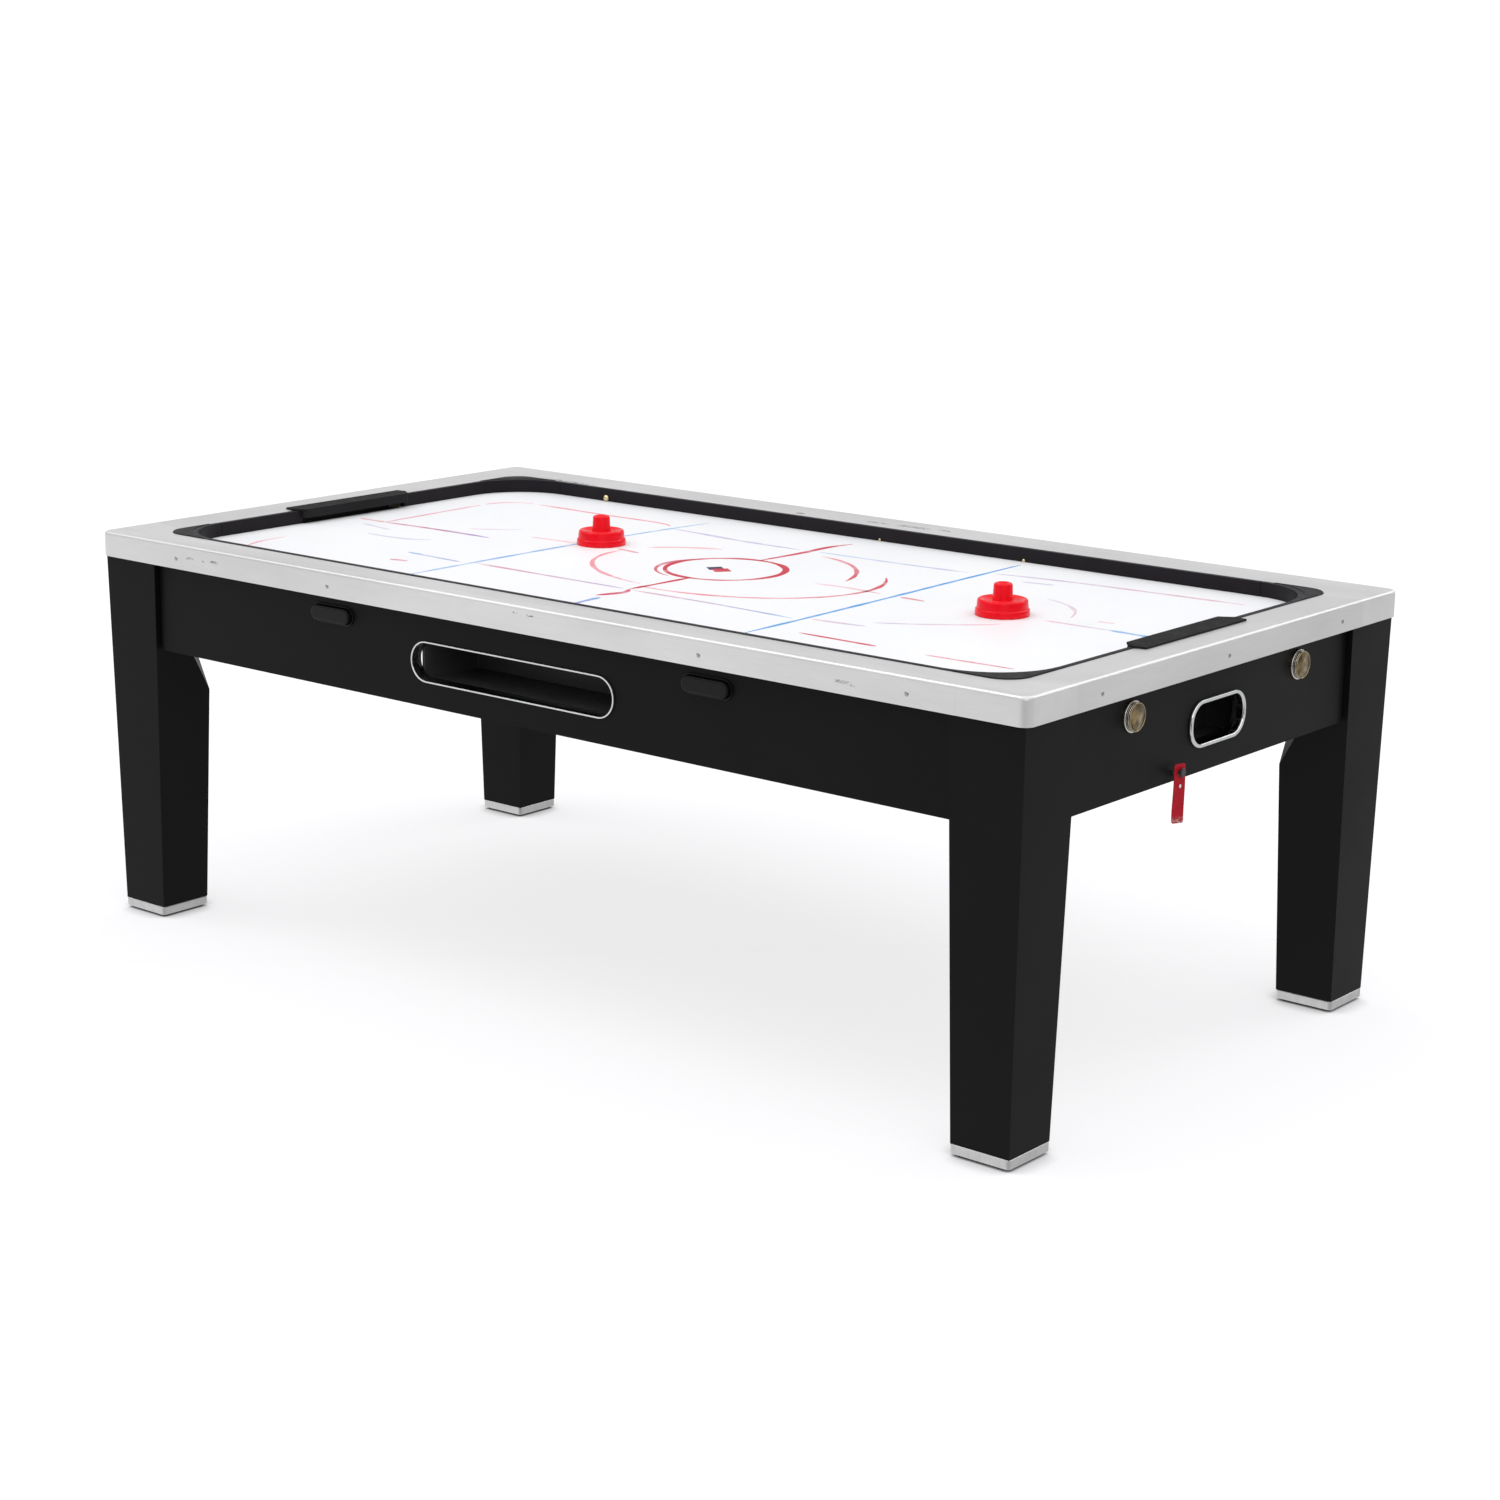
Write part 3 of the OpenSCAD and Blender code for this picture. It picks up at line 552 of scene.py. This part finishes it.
def soften(node, width, slot=None, segments=3, angle=30, smooth_angle=35, others=None):
    """Shows a CAD node as a copy with rounded edges and smooth round faces."""
    mesh = NODES[node].data.copy()
    mesh.name = node + "_shape"
    mesh.materials.clear()
    bm = bmesh.new()
    bm.from_mesh(mesh)
    bmesh.ops.remove_doubles(bm, verts=bm.verts, dist=2e-6)
    bmesh.ops.dissolve_limit(bm, angle_limit=math.radians(0.4), verts=bm.verts, edges=bm.edges)
    for edge in bm.edges:
        if len(edge.link_faces) == 2:
            edge.smooth = edge.calc_face_angle(0) < math.radians(smooth_angle) or width > 0
    for face in bm.faces:
        face.smooth = True
    if others is not None:
        weigh_edges(bm, angle, others)
    bm.to_mesh(mesh)
    bm.free()
    piece = add_piece(node + "_finished", mesh, NODE_BODY[node], slot or NODE_SLOT[node], node)
    return round_edges(piece, width, segments, angle, others is not None)


def lathe(name, profile, place, axis, steps=96):
    """Revolves (radius, height) points about an axis through place; heights run along the axis."""
    turn = Vector((0, 0, 1)).rotation_difference(Vector(axis)).to_matrix()
    verts, rows = [], []
    for radius, height in profile:
        if radius < 1e-9:
            rows.append([len(verts)])
            verts.append(Vector(place) + turn @ Vector((0, 0, height)))
            continue
        rows.append(list(range(len(verts), len(verts) + steps)))
        for i in range(steps):
            a = 2 * math.pi * i / steps
            verts.append(Vector(place) + turn @ Vector((radius * math.cos(a), radius * math.sin(a), height)))
    faces = []
    for low, high in zip(rows, rows[1:]):
        for i in range(steps):
            j = (i + 1) % steps
            quad = [low[i % len(low)], low[j % len(low)], high[j % len(high)], high[i % len(high)]]
            face = [v for k, v in enumerate(quad) if v not in quad[:k]]
            if len(face) > 2:
                faces.append(face)
    return build_mesh(name, verts, faces)


def arc(cx, cy, r, start, end, steps):
    """Points on an arc, angles in degrees."""
    angles = [math.radians(start + (end - start) * i / steps) for i in range(steps + 1)]
    return [(cx + r * math.cos(a), cy + r * math.sin(a)) for a in angles]


def rounded_path(length, height, radius, steps=14):
    """Points and outward directions round a rectangle with rounded corners, anticlockwise."""
    x, y = length / 2 - radius, height / 2 - radius
    path = []
    for cx, cy, start in ((x, -y, -90), (x, y, 0), (-x, y, 90), (-x, -y, 180)):
        for i in range(steps + 1):
            a = math.radians(start + 90 * i / steps)
            path.append(((cx + radius * math.cos(a), cy + radius * math.sin(a)), (math.cos(a), math.sin(a))))
    return path


def sweep_ring(name, path, section, to_world):
    """Sweeps a closed section (outward, proud) round a closed flat path."""
    count, verts, faces = len(section), [], []
    for (x, y), (nx, ny) in path:
        for outward, proud in section:
            verts.append(to_world(x + nx * outward, y + ny * outward, proud))
    for i in range(len(path)):
        for j in range(count):
            a, b = i * count, ((i + 1) % len(path)) * count
            k = (j + 1) % count
            faces.append((a + j, a + k, b + k, b + j))
    return build_mesh(name, verts, faces)


def prism(name, outline, low, high):
    """Extrudes a flat outline between two heights."""
    n = len(outline)
    verts = [(x, y, low) for x, y in outline] + [(x, y, high) for x, y in outline]
    faces = [tuple(range(n)), tuple(range(n, 2 * n))]
    faces += [(i, (i + 1) % n, (i + 1) % n + n, i + n) for i in range(n)]
    return build_mesh(name, verts, faces, smooth=False)


# ------------------------------------------------------------------ pieces

def rails_and_frame():
    """Rails, aprons, legs with their feet, and the wood and board behind them."""
    for node in ("rail_front", "rail_back"):
        soften(node, 0.25, ("rail_metal", MATERIALS["rail_long"]))
    for node in ("rail_left", "rail_right"):
        # The short rails take the darker copy of the metal: painted shade on the end faces.
        soften(node, 0.25, ("rail_metal", MATERIALS["rail_short_shaded"]))
    soften("rail_corners", 0.25, ("rail_metal", MATERIALS["rail_corner"]))
    for node in ("apron_front", "apron_back", "apron_left", "apron_right"):
        soften(node, 1.0)
    for name, _, _ in CORNERS:
        soften("leg_" + name, 13.0, segments=6, others=0.12)
    soften("foot_caps", 1.6, segments=4)
    soften("foot_glides", 1.0)
    for node in ("rail_cores", "corner_blocks", "cross_braces", "plenum_frame", "plenum_floor"):
        soften(node, 0.8, segments=2)
    soften("leg_bolts", 0.5, segments=2)
    soften("playfield", 0.0)


def bumpers_and_goals():
    """Bumper strips and corners, the flat plates on those corners, the goal hoods and the studs."""
    for node in ("bumper_front", "bumper_back", "bumper_left", "bumper_right"):
        soften(node, 1.8, segments=4)
    soften("bumper_corners", 1.2, segments=3, angle=40)
    strip, outer_r = 12 * MM, 50 * MM
    inset, sunk, thick = 1.2 * MM, 0.5 * MM, 0.9 * MM
    wall_x, wall_y = BUMPER_X + strip, BUMPER_Y + strip
    cx, cy = BUMPER_X - FIELD_R, BUMPER_Y - FIELD_R
    r_in = FIELD_R + strip + 0.5 * MM
    start = math.degrees(math.acos(min(1, (wall_x - inset - cx) / r_in)))
    inner = arc(cx, cy, r_in, start, 90 - start, 24)
    outer = arc(wall_x - outer_r, wall_y - outer_r, outer_r - inset, 0, 90, 12)
    for name, sx, sy in CORNERS:
        outline = [(sx * x, sy * y) for x, y in inner + outer[::-1]]
        mesh = prism("corner_plate_" + name, outline, BUMPER_TOP - sunk, BUMPER_TOP + thick)
        slot = ("bumper_plastic", MATERIALS["corner_plate"])
        round_edges(add_piece("corner_plate_" + name, mesh, "table", slot), 0.4, 2)
    for node in ("goal_hood_left", "goal_hood_right"):
        soften(node, 1.4, segments=4, angle=25)
    soften("bumper_studs", 0.0)


def ring_section(width, proud, sleeve):
    """Section of a trim ring: a rounded band with a shallow valley in its crown, and a sleeve that
    narrows into the hole."""
    wall, narrow, seat = 1.0 * MM, 3.5 * MM, 0.2 * MM
    edge, valley_share, valley_spread = 0.30, 0.13, 2.4
    crown = []
    for a in range(0, 181, 6):
        valley = valley_share * width * max(0.0, math.cos(math.radians(valley_spread * (a - 90))))
        rise = proud * (edge + (1 - edge) * math.sin(math.radians(a)))
        crown.append((width / 2 - width / 2 * math.cos(math.radians(a)), rise - valley))
    bend = (-narrow * 0.25, -sleeve * 0.3)
    inside = [(-narrow, -sleeve), bend]
    outside = [(width, -seat), (wall * 0.8, -seat), (wall + bend[0], bend[1]), (wall - narrow, -sleeve)]
    return inside + crown + outside


def trim_ring(node, name, band, to_world):
    """A rounded ring round an opening, as large as its CAD node."""
    corner_r, sleeve = 39.5 * MM, 16 * MM
    low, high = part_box(node)
    span = max(high.x - low.x, high.y - low.y)
    proud = min(high.x - low.x, high.y - low.y)
    hole = rounded_path(span - 2 * band, high.z - low.z - 2 * band, corner_r - band)
    mid = (low.z + high.z) / 2
    section = ring_section(band, proud, sleeve)
    mesh = sweep_ring(name, hole, section, lambda along, up, out: to_world(along, mid + up, out))
    add_piece(name, mesh, "table", "chrome_trim", node)


def trims_and_boxes():
    """Chrome rings of the slot and the two ports, and the boxes behind them."""
    slot_band, port_band = 4 * MM, 8 * MM
    trim_ring("slot_trim", "slot_ring", slot_band, lambda a, z, out: (a, -FRONT_FACE - out, z))
    trim_ring("port_trim_right", "port_ring_right", port_band, lambda a, z, out: (END_FACE + out, a, z))
    trim_ring("port_trim_left", "port_ring_left", port_band, lambda a, z, out: (-END_FACE - out, -a, z))
    for node in ("puck_box_left", "puck_box_right", "storage_tray"):
        soften(node, 1.5)


# Profiles of a knob's head in millimetres: radius, and height over the sunk face of its CAD head
KNOB_FACE = ((0.0, 1.2), (9.0, 1.1), (9.6, 0.85), (22.8, 0.75), (23.2, 0.5), (23.2, -0.3), (0.0, -0.3))
KNOB_RIM = ((23.1, 0.4), (23.3, 1.0), (24.1, 1.2), (24.8, 0.9), (25.15, 0.2), (25.15, -1.0), (23.1, -1.0),
            (23.1, 0.4))
KNOB_SKIRT = ((22.3, -1.4), (25.2, -1.4), (25.4, -2.3), (25.4, -5.1), (25.0, -5.7), (22.3, -5.7),
              (22.3, -1.4))
KNOB_FACE_HEIGHT = 11.4 * MM  # that sunk face, over the apron


def latches_and_knobs():
    """Latch buttons, lock knobs with a face, rim and skirt of their own, the release pin and the screws."""
    soften("latch_bezels", 1.2, segments=3)
    for node in [n for n in NODES if n.startswith("latch_") and n != "latch_bezels"]:
        soften(node, 4.0, segments=6)
    soften("knob_bases", 0.5, segments=2)
    parts = (
        ("face", KNOB_FACE, "brass_face"),
        ("rim", KNOB_RIM, "knob_rim"),
        ("skirt", KNOB_SKIRT, "knob_skirt"),
    )
    for node in [n for n in NODES if n.startswith("knob_") and n != "knob_bases"]:
        soften(node, 0.4, segments=2)
        low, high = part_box(node)
        sign = 1 if high.x > 0 else -1
        radius = (high.y - low.y) / 2
        place = (sign * (END_FACE + KNOB_FACE_HEIGHT), low.y + radius, low.z + radius)
        for part, profile, paint in parts:
            section = [(r * MM, height * MM) for r, height in profile]
            mesh = lathe(node + "_" + part, section, place, (sign, 0, 0))
            add_piece(node + "_" + part, mesh, NODE_BODY[node], ("knob_brass", MATERIALS[paint]))
    soften("pin_bush", 0.4, segments=2)
    soften("release_pin", 0.6, segments=3)
    soften("trim_screws", 0.3, segments=2)


def strap():
    """Flat strap that hangs by its hole, turns a little as it falls and has clipped corners."""
    low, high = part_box("pin_strap")
    pin_drop, hole, thick, corner = 15 * MM, 4.6 * MM, 1.6 * MM, 3 * MM
    pin = Vector(((low.x + high.x) / 2, (low.y + high.y) / 2, high.z - pin_drop))
    width, top, bottom = 0.78 * (high.y - low.y), high.z, low.z
    first_turn, added_turn = 19, 9
    sway, lean = 0.9 * MM, 0.8 * MM
    rows, cols = 80, 22

    def half_width(z):
        clip = max(0.0, (bottom + corner - z) * 0.7)
        crown = corner - math.sqrt(max(0.0, corner ** 2 - max(0.0, z - top + corner) ** 2))
        return width / 2 - clip - crown

    bm = bmesh.new()
    grid = {}
    for i in range(rows + 1):
        t = i / rows
        z = top + (bottom - top) * t
        turn = math.radians(first_turn + added_turn * t)
        wave = sway * math.sin(t * 6.0) * t - lean
        for j in range(cols + 1):
            s = 2 * j / cols - 1
            reach = s * half_width(z)
            x = pin.x + reach * math.sin(turn) + wave
            grid[i, j] = bm.verts.new((x, pin.y + reach * math.cos(turn), z))
    for i in range(rows):
        for j in range(cols):
            quad = [grid[i, j], grid[i + 1, j], grid[i + 1, j + 1], grid[i, j + 1]]
            centre = sum((v.co for v in quad), Vector()) / 4
            if math.hypot(centre.y - pin.y, centre.z - pin.z) > hole:
                bm.faces.new(quad)
    bmesh.ops.delete(bm, geom=[v for v in bm.verts if not v.link_faces], context="VERTS")
    for v in bm.verts:
        away = Vector((0, v.co.y - pin.y, v.co.z - pin.z))
        if any(e.is_boundary for e in v.link_edges) and away.length < hole * 1.6:
            away.normalize()
            v.co.y, v.co.z = pin.y + away.y * hole, pin.z + away.z * hole
    mesh = bpy.data.meshes.new("release_strap")
    bm.to_mesh(mesh)
    bm.free()
    mesh.polygons.foreach_set("use_smooth", [True] * len(mesh.polygons))
    piece = add_piece("release_strap", mesh, "strap", "red_webbing", "pin_strap")
    solid = piece.modifiers.new("thickness", "SOLIDIFY")
    solid.thickness, solid.offset = thick, 0
    round_edges(piece, 0.3, 2, 50)
    soften("strap_rivet", 0.15, segments=2)


def mallet(node):
    """A two-tier base with a dished top and a round post."""
    low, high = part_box(node)
    r, h = (high.x - low.x) / 2, high.z - low.z
    x, y = (low.x + high.x) / 2, (low.y + high.y) / 2
    base, post = h / 2 + 1 * MM, 18 * MM
    underside = [(0.0, 0.6 * MM), (r - 9 * MM, 0.6 * MM), (r - 8 * MM, 0.0), (r - 2.5 * MM, 0.0)]
    foot_edge = arc(r - 1.6 * MM, 1.6 * MM, 1.6 * MM, -80, 0, 6)
    lower_tier = [(r - 0.3 * MM, 7 * MM), (r - 0.8 * MM, 11.4 * MM), (r - 1.5 * MM, 12.6 * MM)]
    upper_tier = [(r - 2.6 * MM, 13.2 * MM), (r - 3.0 * MM, 13.8 * MM), (r - 3.0 * MM, 15 * MM),
                  (r - 3.6 * MM, 22 * MM)]
    shoulder = arc(r - 8.9 * MM, base - 5 * MM, 4.8 * MM, 8, 90, 10)
    dish = [(r - 11 * MM, base - 0.5 * MM), (r - 17 * MM, base - 2.2 * MM), (post + 8 * MM, base - 4.6 * MM)]
    fillet = arc(post + 4.8 * MM, base - 1.6 * MM, 3.4 * MM, 270, 185, 6)
    stem = [(post + 0.4 * MM, base + 8 * MM), (post - 0.3 * MM, h - 6 * MM)]
    crown = arc(post - 5.6 * MM, h - 5.2 * MM, 5.2 * MM, 4, 86, 10)
    dimple = [(post - 8 * MM, h - 0.4 * MM), (7 * MM, h - 2.2 * MM), (3.0 * MM, h - 4.4 * MM),
              (0.0, h - 4.8 * MM)]
    profile = underside + foot_edge + lower_tier + upper_tier + shoulder
    profile += dish + fillet + stem + crown + dimple
    mesh = lathe(node + "_body", profile, (x, y, low.z), (0, 0, 1), 128)
    round_edges(add_piece(node + "_body", mesh, node, "mallet_red", node), 0)


def blower_and_switch():
    """Blower, switch and mains inlet."""
    soften("blower_housing", 0.8)
    soften("blower_motor", 1.5)
    soften("blower_impeller", 0.4, segments=2)
    soften("blower_grille", 0.3, segments=2)
    soften("switch_box", 0.8)
    soften("switch_rocker", 0.8)
    soften("power_inlet", 0.6)


# ------------------------------------------------------------------ printed lines

RED, PINK, BLUE = (0.56, 0.02, 0.05), (0.78, 0.26, 0.32), (0.06, 0.32, 0.70)
VIOLET, ROSE, NAVY = (0.33, 0.26, 0.56), (0.62, 0.08, 0.15), (0.015, 0.02, 0.08)
LINE_SHIFT = (8, -16)  # added to every stroke's place, in millimetres
INK_DEPTH, INK_RISE = 0.1 * MM, 0.06 * MM  # how far a stroke goes under and over the playfield's surface

# Straight or gently bent strokes in millimetres: points, width, first and last colour, strength
STROKES = (
    (((-412, 462), (-430, 300), (-444, 80), (-450, -150), (-453, -420)), 11, BLUE, BLUE, 0.62),
    (((372, 500), (378, 250), (384, 60), (390, -200), (392, -420)), 10, BLUE, BLUE, 0.85),
    (((-22, 462), (-36, 400), (-36, 300), (-44, 184)), 15, RED, RED, 0.75),
    (((-26, -56), (-30, -150), (-34, -225)), 12, RED, RED, 0.85),
    (((-34, -225), (-20, -255), (-40, -312)), 16, ROSE, RED, 0.8),
    (((-20, -322), (-14, -420)), 13, BLUE, VIOLET, 0.7),
    (((-632, -228), (-475, -236)), 11, BLUE, VIOLET, 0.6),
    (((-445, -224), (-250, -226), (-46, -226)), 10, ROSE, VIOLET, 0.6),
    (((-22, -228), (170, -226), (372, -234)), 10, ROSE, BLUE, 0.6),
    (((402, -216), (470, -210), (515, -202)), 10, ROSE, VIOLET, 0.5),
    (((462, -328), (635, -329)), 11, RED, ROSE, 0.8),
    (((740, -330), (920, -322)), 9, PINK, RED, 0.75),
    (((-602, -308), (-560, -300)), 15, RED, ROSE, 0.6),
    (((-415, 352), (-300, 342), (-200, 334), (-60, 334)), 12, VIOLET, VIOLET, 0.5),
    (((-14, 340), (180, 346), (345, 358)), 12, BLUE, VIOLET, 0.45),
    (((392, 384), (450, 396), (560, 412), (700, 424), (920, 438)), 12, VIOLET, ROSE, 0.5),
    (((477, 348), (545, 362)), 13, VIOLET, VIOLET, 0.35),
    (((-1008, -6), (-930, -4)), 10, PINK, RED, 0.6),
    (((-930, -4), (-800, 4), (-670, 6), (-628, 4)), 13, RED, VIOLET, 0.75),
    (((-955, -48), (-900, -58), (-850, -66)), 10, VIOLET, VIOLET, 0.3),
    (((-857, -127), (-800, -128), (-740, -118), (-700, -92)), 12, VIOLET, VIOLET, 0.35),
    (((-742, 57), (-700, 84), (-647, 132)), 10, ROSE, VIOLET, 0.3),
    (((-932, -4), (-938, 160), (-943, 300)), 10, ROSE, PINK, 0.6),
    (((-850, 392), (-660, 388), (-500, 390), (-448, 376)), 12, PINK, PINK, 0.75),
    (((-952, -272), (-950, -340), (-930, -400)), 9, PINK, ROSE, 0.5),
    (((-572, 72), (-460, 82)), 12, PINK, PINK, 0.55),
    (((-345, 92), (-280, 82)), 16, ROSE, RED, 0.5),
    (((192, 62), (260, 70), (350, 64)), 10, PINK, ROSE, 0.5),
    (((398, 62), (455, 60)), 12, ROSE, RED, 0.6),
    (((725, 60), (800, 62), (860, 64)), 10, PINK, VIOLET, 0.6),
    (((860, 64), (935, 62), (1010, 58)), 14, BLUE, BLUE, 0.7),
    (((800, 118), (836, 122)), 9, ROSE, PINK, 0.35),
    (((507, -167), (580, -120), (650, -62), (684, -22)), 11, VIOLET, PINK, 0.5),
    (((612, 237), (672, 212), (720, 168), (747, 112)), 8, VIOLET, ROSE, 0.35),
)

# Arcs in millimetres: centre, half axes, first and last angle, width, colours, strength
ARCS = (
    ((-34, 63), (120, 120), 0, 360, 14, RED, RED, 0.9),
    ((-56, 50), (110, 118), 150, 262, 11, ROSE, RED, 0.7),
    ((-10, 70), (322, 190), 158, 122, 14, PINK, PINK, 0.55),
    ((-10, 66), (318, 236), 176, 262, 10, PINK, PINK, 0.75),
    ((-4, 62), (232, 244), 84, 14, 11, PINK, RED, 0.75),
    ((-8, 62), (322, 250), 34, -96, 12, RED, PINK, 0.75),
    ((-866, 312), (76, 80), 180, 90, 11, PINK, PINK, 0.6),
)

# Squares at the centre in millimetres: middle, half diagonal, colour
MARKS = (((-54, 56), 22, NAVY), ((-32, 48), 24, RED))


def ribbon(points, width, first, last, strength, closed, verts, faces, inks):
    """Adds one thin solid strip along the points to the shared lists."""
    low, high = FIELD_Z - INK_DEPTH, FIELD_Z + INK_RISE
    unevenness = 21
    n, start = len(points), len(verts)
    for i, p in enumerate(points):
        before = points[i - 1] if i or closed else p
        after = points[(i + 1) % n] if i < n - 1 or closed else p
        along = (Vector(after) - Vector(before)).normalized()
        side = Vector((-along.y, along.x))
        swell = noise.noise(Vector((p[0] * unevenness, p[1] * unevenness, 0.3)))
        taper = 1.0 if closed else min(1.0, 0.25 + 4.8 * min(i, n - 1 - i) / n)
        half = width * MM / 2 * (0.86 + 0.5 * swell) * taper
        t = i / max(1, n - 1)
        ink = [a + (b - a) * t for a, b in zip(first, last)] + [strength]
        for s, z in ((1, low), (1, high), (-1, high), (-1, low)):
            verts.append((p[0] + side.x * half * s, p[1] + side.y * half * s, z))
            inks.append(ink)
    for i in range(n if closed else n - 1):
        a, b = start + 4 * i, start + 4 * ((i + 1) % n)
        for k in range(4):
            m = (k + 1) % 4
            faces.append((a + k, a + m, b + m, b + k))
    if not closed:
        faces.append((start, start + 1, start + 2, start + 3))
        end = start + 4 * (n - 1)
        faces.append((end + 3, end + 2, end + 1, end))


def on_field(x, y):
    """Place on the table of a stroke's point."""
    return Vector((x + LINE_SHIFT[0], y + LINE_SHIFT[1])) * MM


def curve_through(points, step=8 * MM):
    """Smooth points through the given ones, about step apart."""
    places = [on_field(x, y) for x, y in points]
    last = len(places) - 1
    out = []
    for i in range(last):
        p0, p1, p2, p3 = places[max(0, i - 1)], places[i], places[i + 1], places[min(last, i + 2)]
        count = max(2, int((p2 - p1).length / step))
        for k in range(count):
            t = k / count
            out.append(0.5 * ((2 * p1) + (p2 - p0) * t + (2 * p0 - 5 * p1 + 4 * p2 - p3) * t * t
                              + (3 * p1 - p0 - 3 * p2 + p3) * t ** 3))
    return [tuple(p) for p in out + [places[-1]]]


def ellipse(centre, half_axes, start, end, step=8):
    """Points along an ellipse's arc, about step millimetres apart. A full turn doesn't repeat its first."""
    steps = max(12, int(math.radians(abs(end - start)) * max(half_axes) / step))
    count = steps if abs(end - start) >= 360 else steps + 1
    angles = [math.radians(start + (end - start) * i / steps) for i in range(count)]
    return [tuple(on_field(centre[0] + half_axes[0] * math.cos(a), centre[1] + half_axes[1] * math.sin(a)))
            for a in angles]


def centre_mark(verts, faces, inks):
    """Adds two small tilted squares, the second a little higher than the first."""
    low, high = FIELD_Z - INK_DEPTH, FIELD_Z + 0.08 * MM
    tilt, strength, lift = 8, 0.9, 0.02 * MM
    for place, size, ink in MARKS:
        start = len(verts)
        x, y = on_field(*place)
        for z in (low, high):
            for a in range(4):
                t = math.radians(90 * a + tilt)
                verts.append((x + size * MM * math.cos(t), y + size * MM * math.sin(t), z))
                inks.append(list(ink) + [strength])
        faces.append(tuple(range(start, start + 4)))
        faces.append(tuple(range(start + 7, start + 3, -1)))
        for k in range(4):
            m = (k + 1) % 4
            faces.append((start + k, start + m, start + 4 + m, start + 4 + k))
        high += lift


def field_lines():
    """All printed strokes, as one thin piece with its colours at its points."""
    verts, faces, inks = [], [], []
    for points, width, first, last, strength in STROKES:
        ribbon(curve_through(points), width, first, last, strength, False, verts, faces, inks)
    for centre, half_axes, start, end, width, first, last, strength in ARCS:
        points = ellipse(centre, half_axes, start, end)
        closed = abs(end - start) >= 360
        ribbon(points, width, first, last, strength, closed, verts, faces, inks)
    centre_mark(verts, faces, inks)
    mesh = bpy.data.meshes.new("field_lines")
    mesh.from_pydata(verts, [], faces)
    layer = mesh.color_attributes.new("ink", "FLOAT_COLOR", "POINT")
    layer.data.foreach_set("color", [c for ink in inks for c in ink])
    bm = bmesh.new()
    bm.from_mesh(mesh)
    bmesh.ops.recalc_face_normals(bm, faces=bm.faces)
    bm.to_mesh(mesh)
    bm.free()
    add_piece("field_lines", mesh, "table", ("white_field", MATERIALS["field_ink"]))


# ------------------------------------------------------------------ scene

MATERIALS = {
    "rail_long": rail_paint("rail_long", True),
    # The short rails' copy is a little darker than the long ones: painted shade on the end faces.
    "rail_short_shaded": rail_paint("rail_short_shaded", False, 0.97),
    "rail_corner": rail_paint("rail_corner", True),
    "black_panel": black_panel_paint(),
    "raw_wood": wood_paint(),
    "white_field": field_paint(),
    "field_ink": ink_paint(),
    "red_webbing": strap_paint(),
    "mallet_red": mallet_paint(),
    "foot_metal": metal_paint("foot_metal", (0.61, 0.61, 0.615), 0.42, stretch=(1, 1, 0.05)),
    "glide_rubber": plain_paint("glide_rubber", (0.015, 0.015, 0.015), 0.7),
    "zinc_steel": metal_paint("zinc_steel", (0.42, 0.42, 0.43), 0.2),
    "bumper_plastic": plain_paint("bumper_plastic", (0.0105, 0.0088, 0.0115), 0.42, ior=1.22),
    "corner_plate": plain_paint("corner_plate", (0.014, 0.0135, 0.015), 0.45, ior=1.2),
    "hood_plastic": plain_paint("hood_plastic", (0.0175, 0.0175, 0.0185), 0.55, scale=250, depth=0.00001,
                                ior=1.12),
    "box_plastic": plain_paint("box_plastic", (0.06, 0.06, 0.06), 0.45, ior=1.45),
    "chrome_trim": metal_paint("chrome_trim", (0.68, 0.69, 0.70), 0.08, 900, depth=0.000003),
    "latch_plastic": plain_paint("latch_plastic", (0.0058, 0.0056, 0.0058), 0.22, ior=1.24),
    "knob_nickel": metal_paint("knob_nickel", (0.70, 0.68, 0.62), 0.22),
    "knob_brass": metal_paint("knob_brass", (0.78, 0.62, 0.36), 0.20),
    # Knob faces: dark brass that holds a painted reflection.
    "brass_face": dark_reflection_brass_paint(),
    "knob_rim": metal_paint("knob_rim", (0.40, 0.32, 0.19), 0.2),
    "knob_skirt": metal_paint("knob_skirt", (0.66, 0.64, 0.60), 0.16),
    "pin_black": plain_paint("pin_black", (0.03, 0.03, 0.032), 0.3),
    "white_rivet": plain_paint("white_rivet", (0.82, 0.82, 0.82), 0.3, tone=1.05),
    "motor_metal": plain_paint("motor_metal", (0.12, 0.12, 0.13), 0.4),
    "fan_plastic": plain_paint("fan_plastic", (0.03, 0.03, 0.033), 0.4),
    "grille_metal": plain_paint("grille_metal", (0.012, 0.012, 0.012), 0.45),
    "switch_plastic": plain_paint("switch_plastic", (0.010, 0.010, 0.010), 0.4),
    "rocker_plastic": plain_paint("rocker_plastic", (0.32, 0.012, 0.012), 0.25, coat=0.2),
}

make_camera()
make_studio()
rails_and_frame()
bumpers_and_goals()
trims_and_boxes()
latches_and_knobs()
strap()
mallet("mallet_left")
mallet("mallet_right")
blower_and_switch()
field_lines()
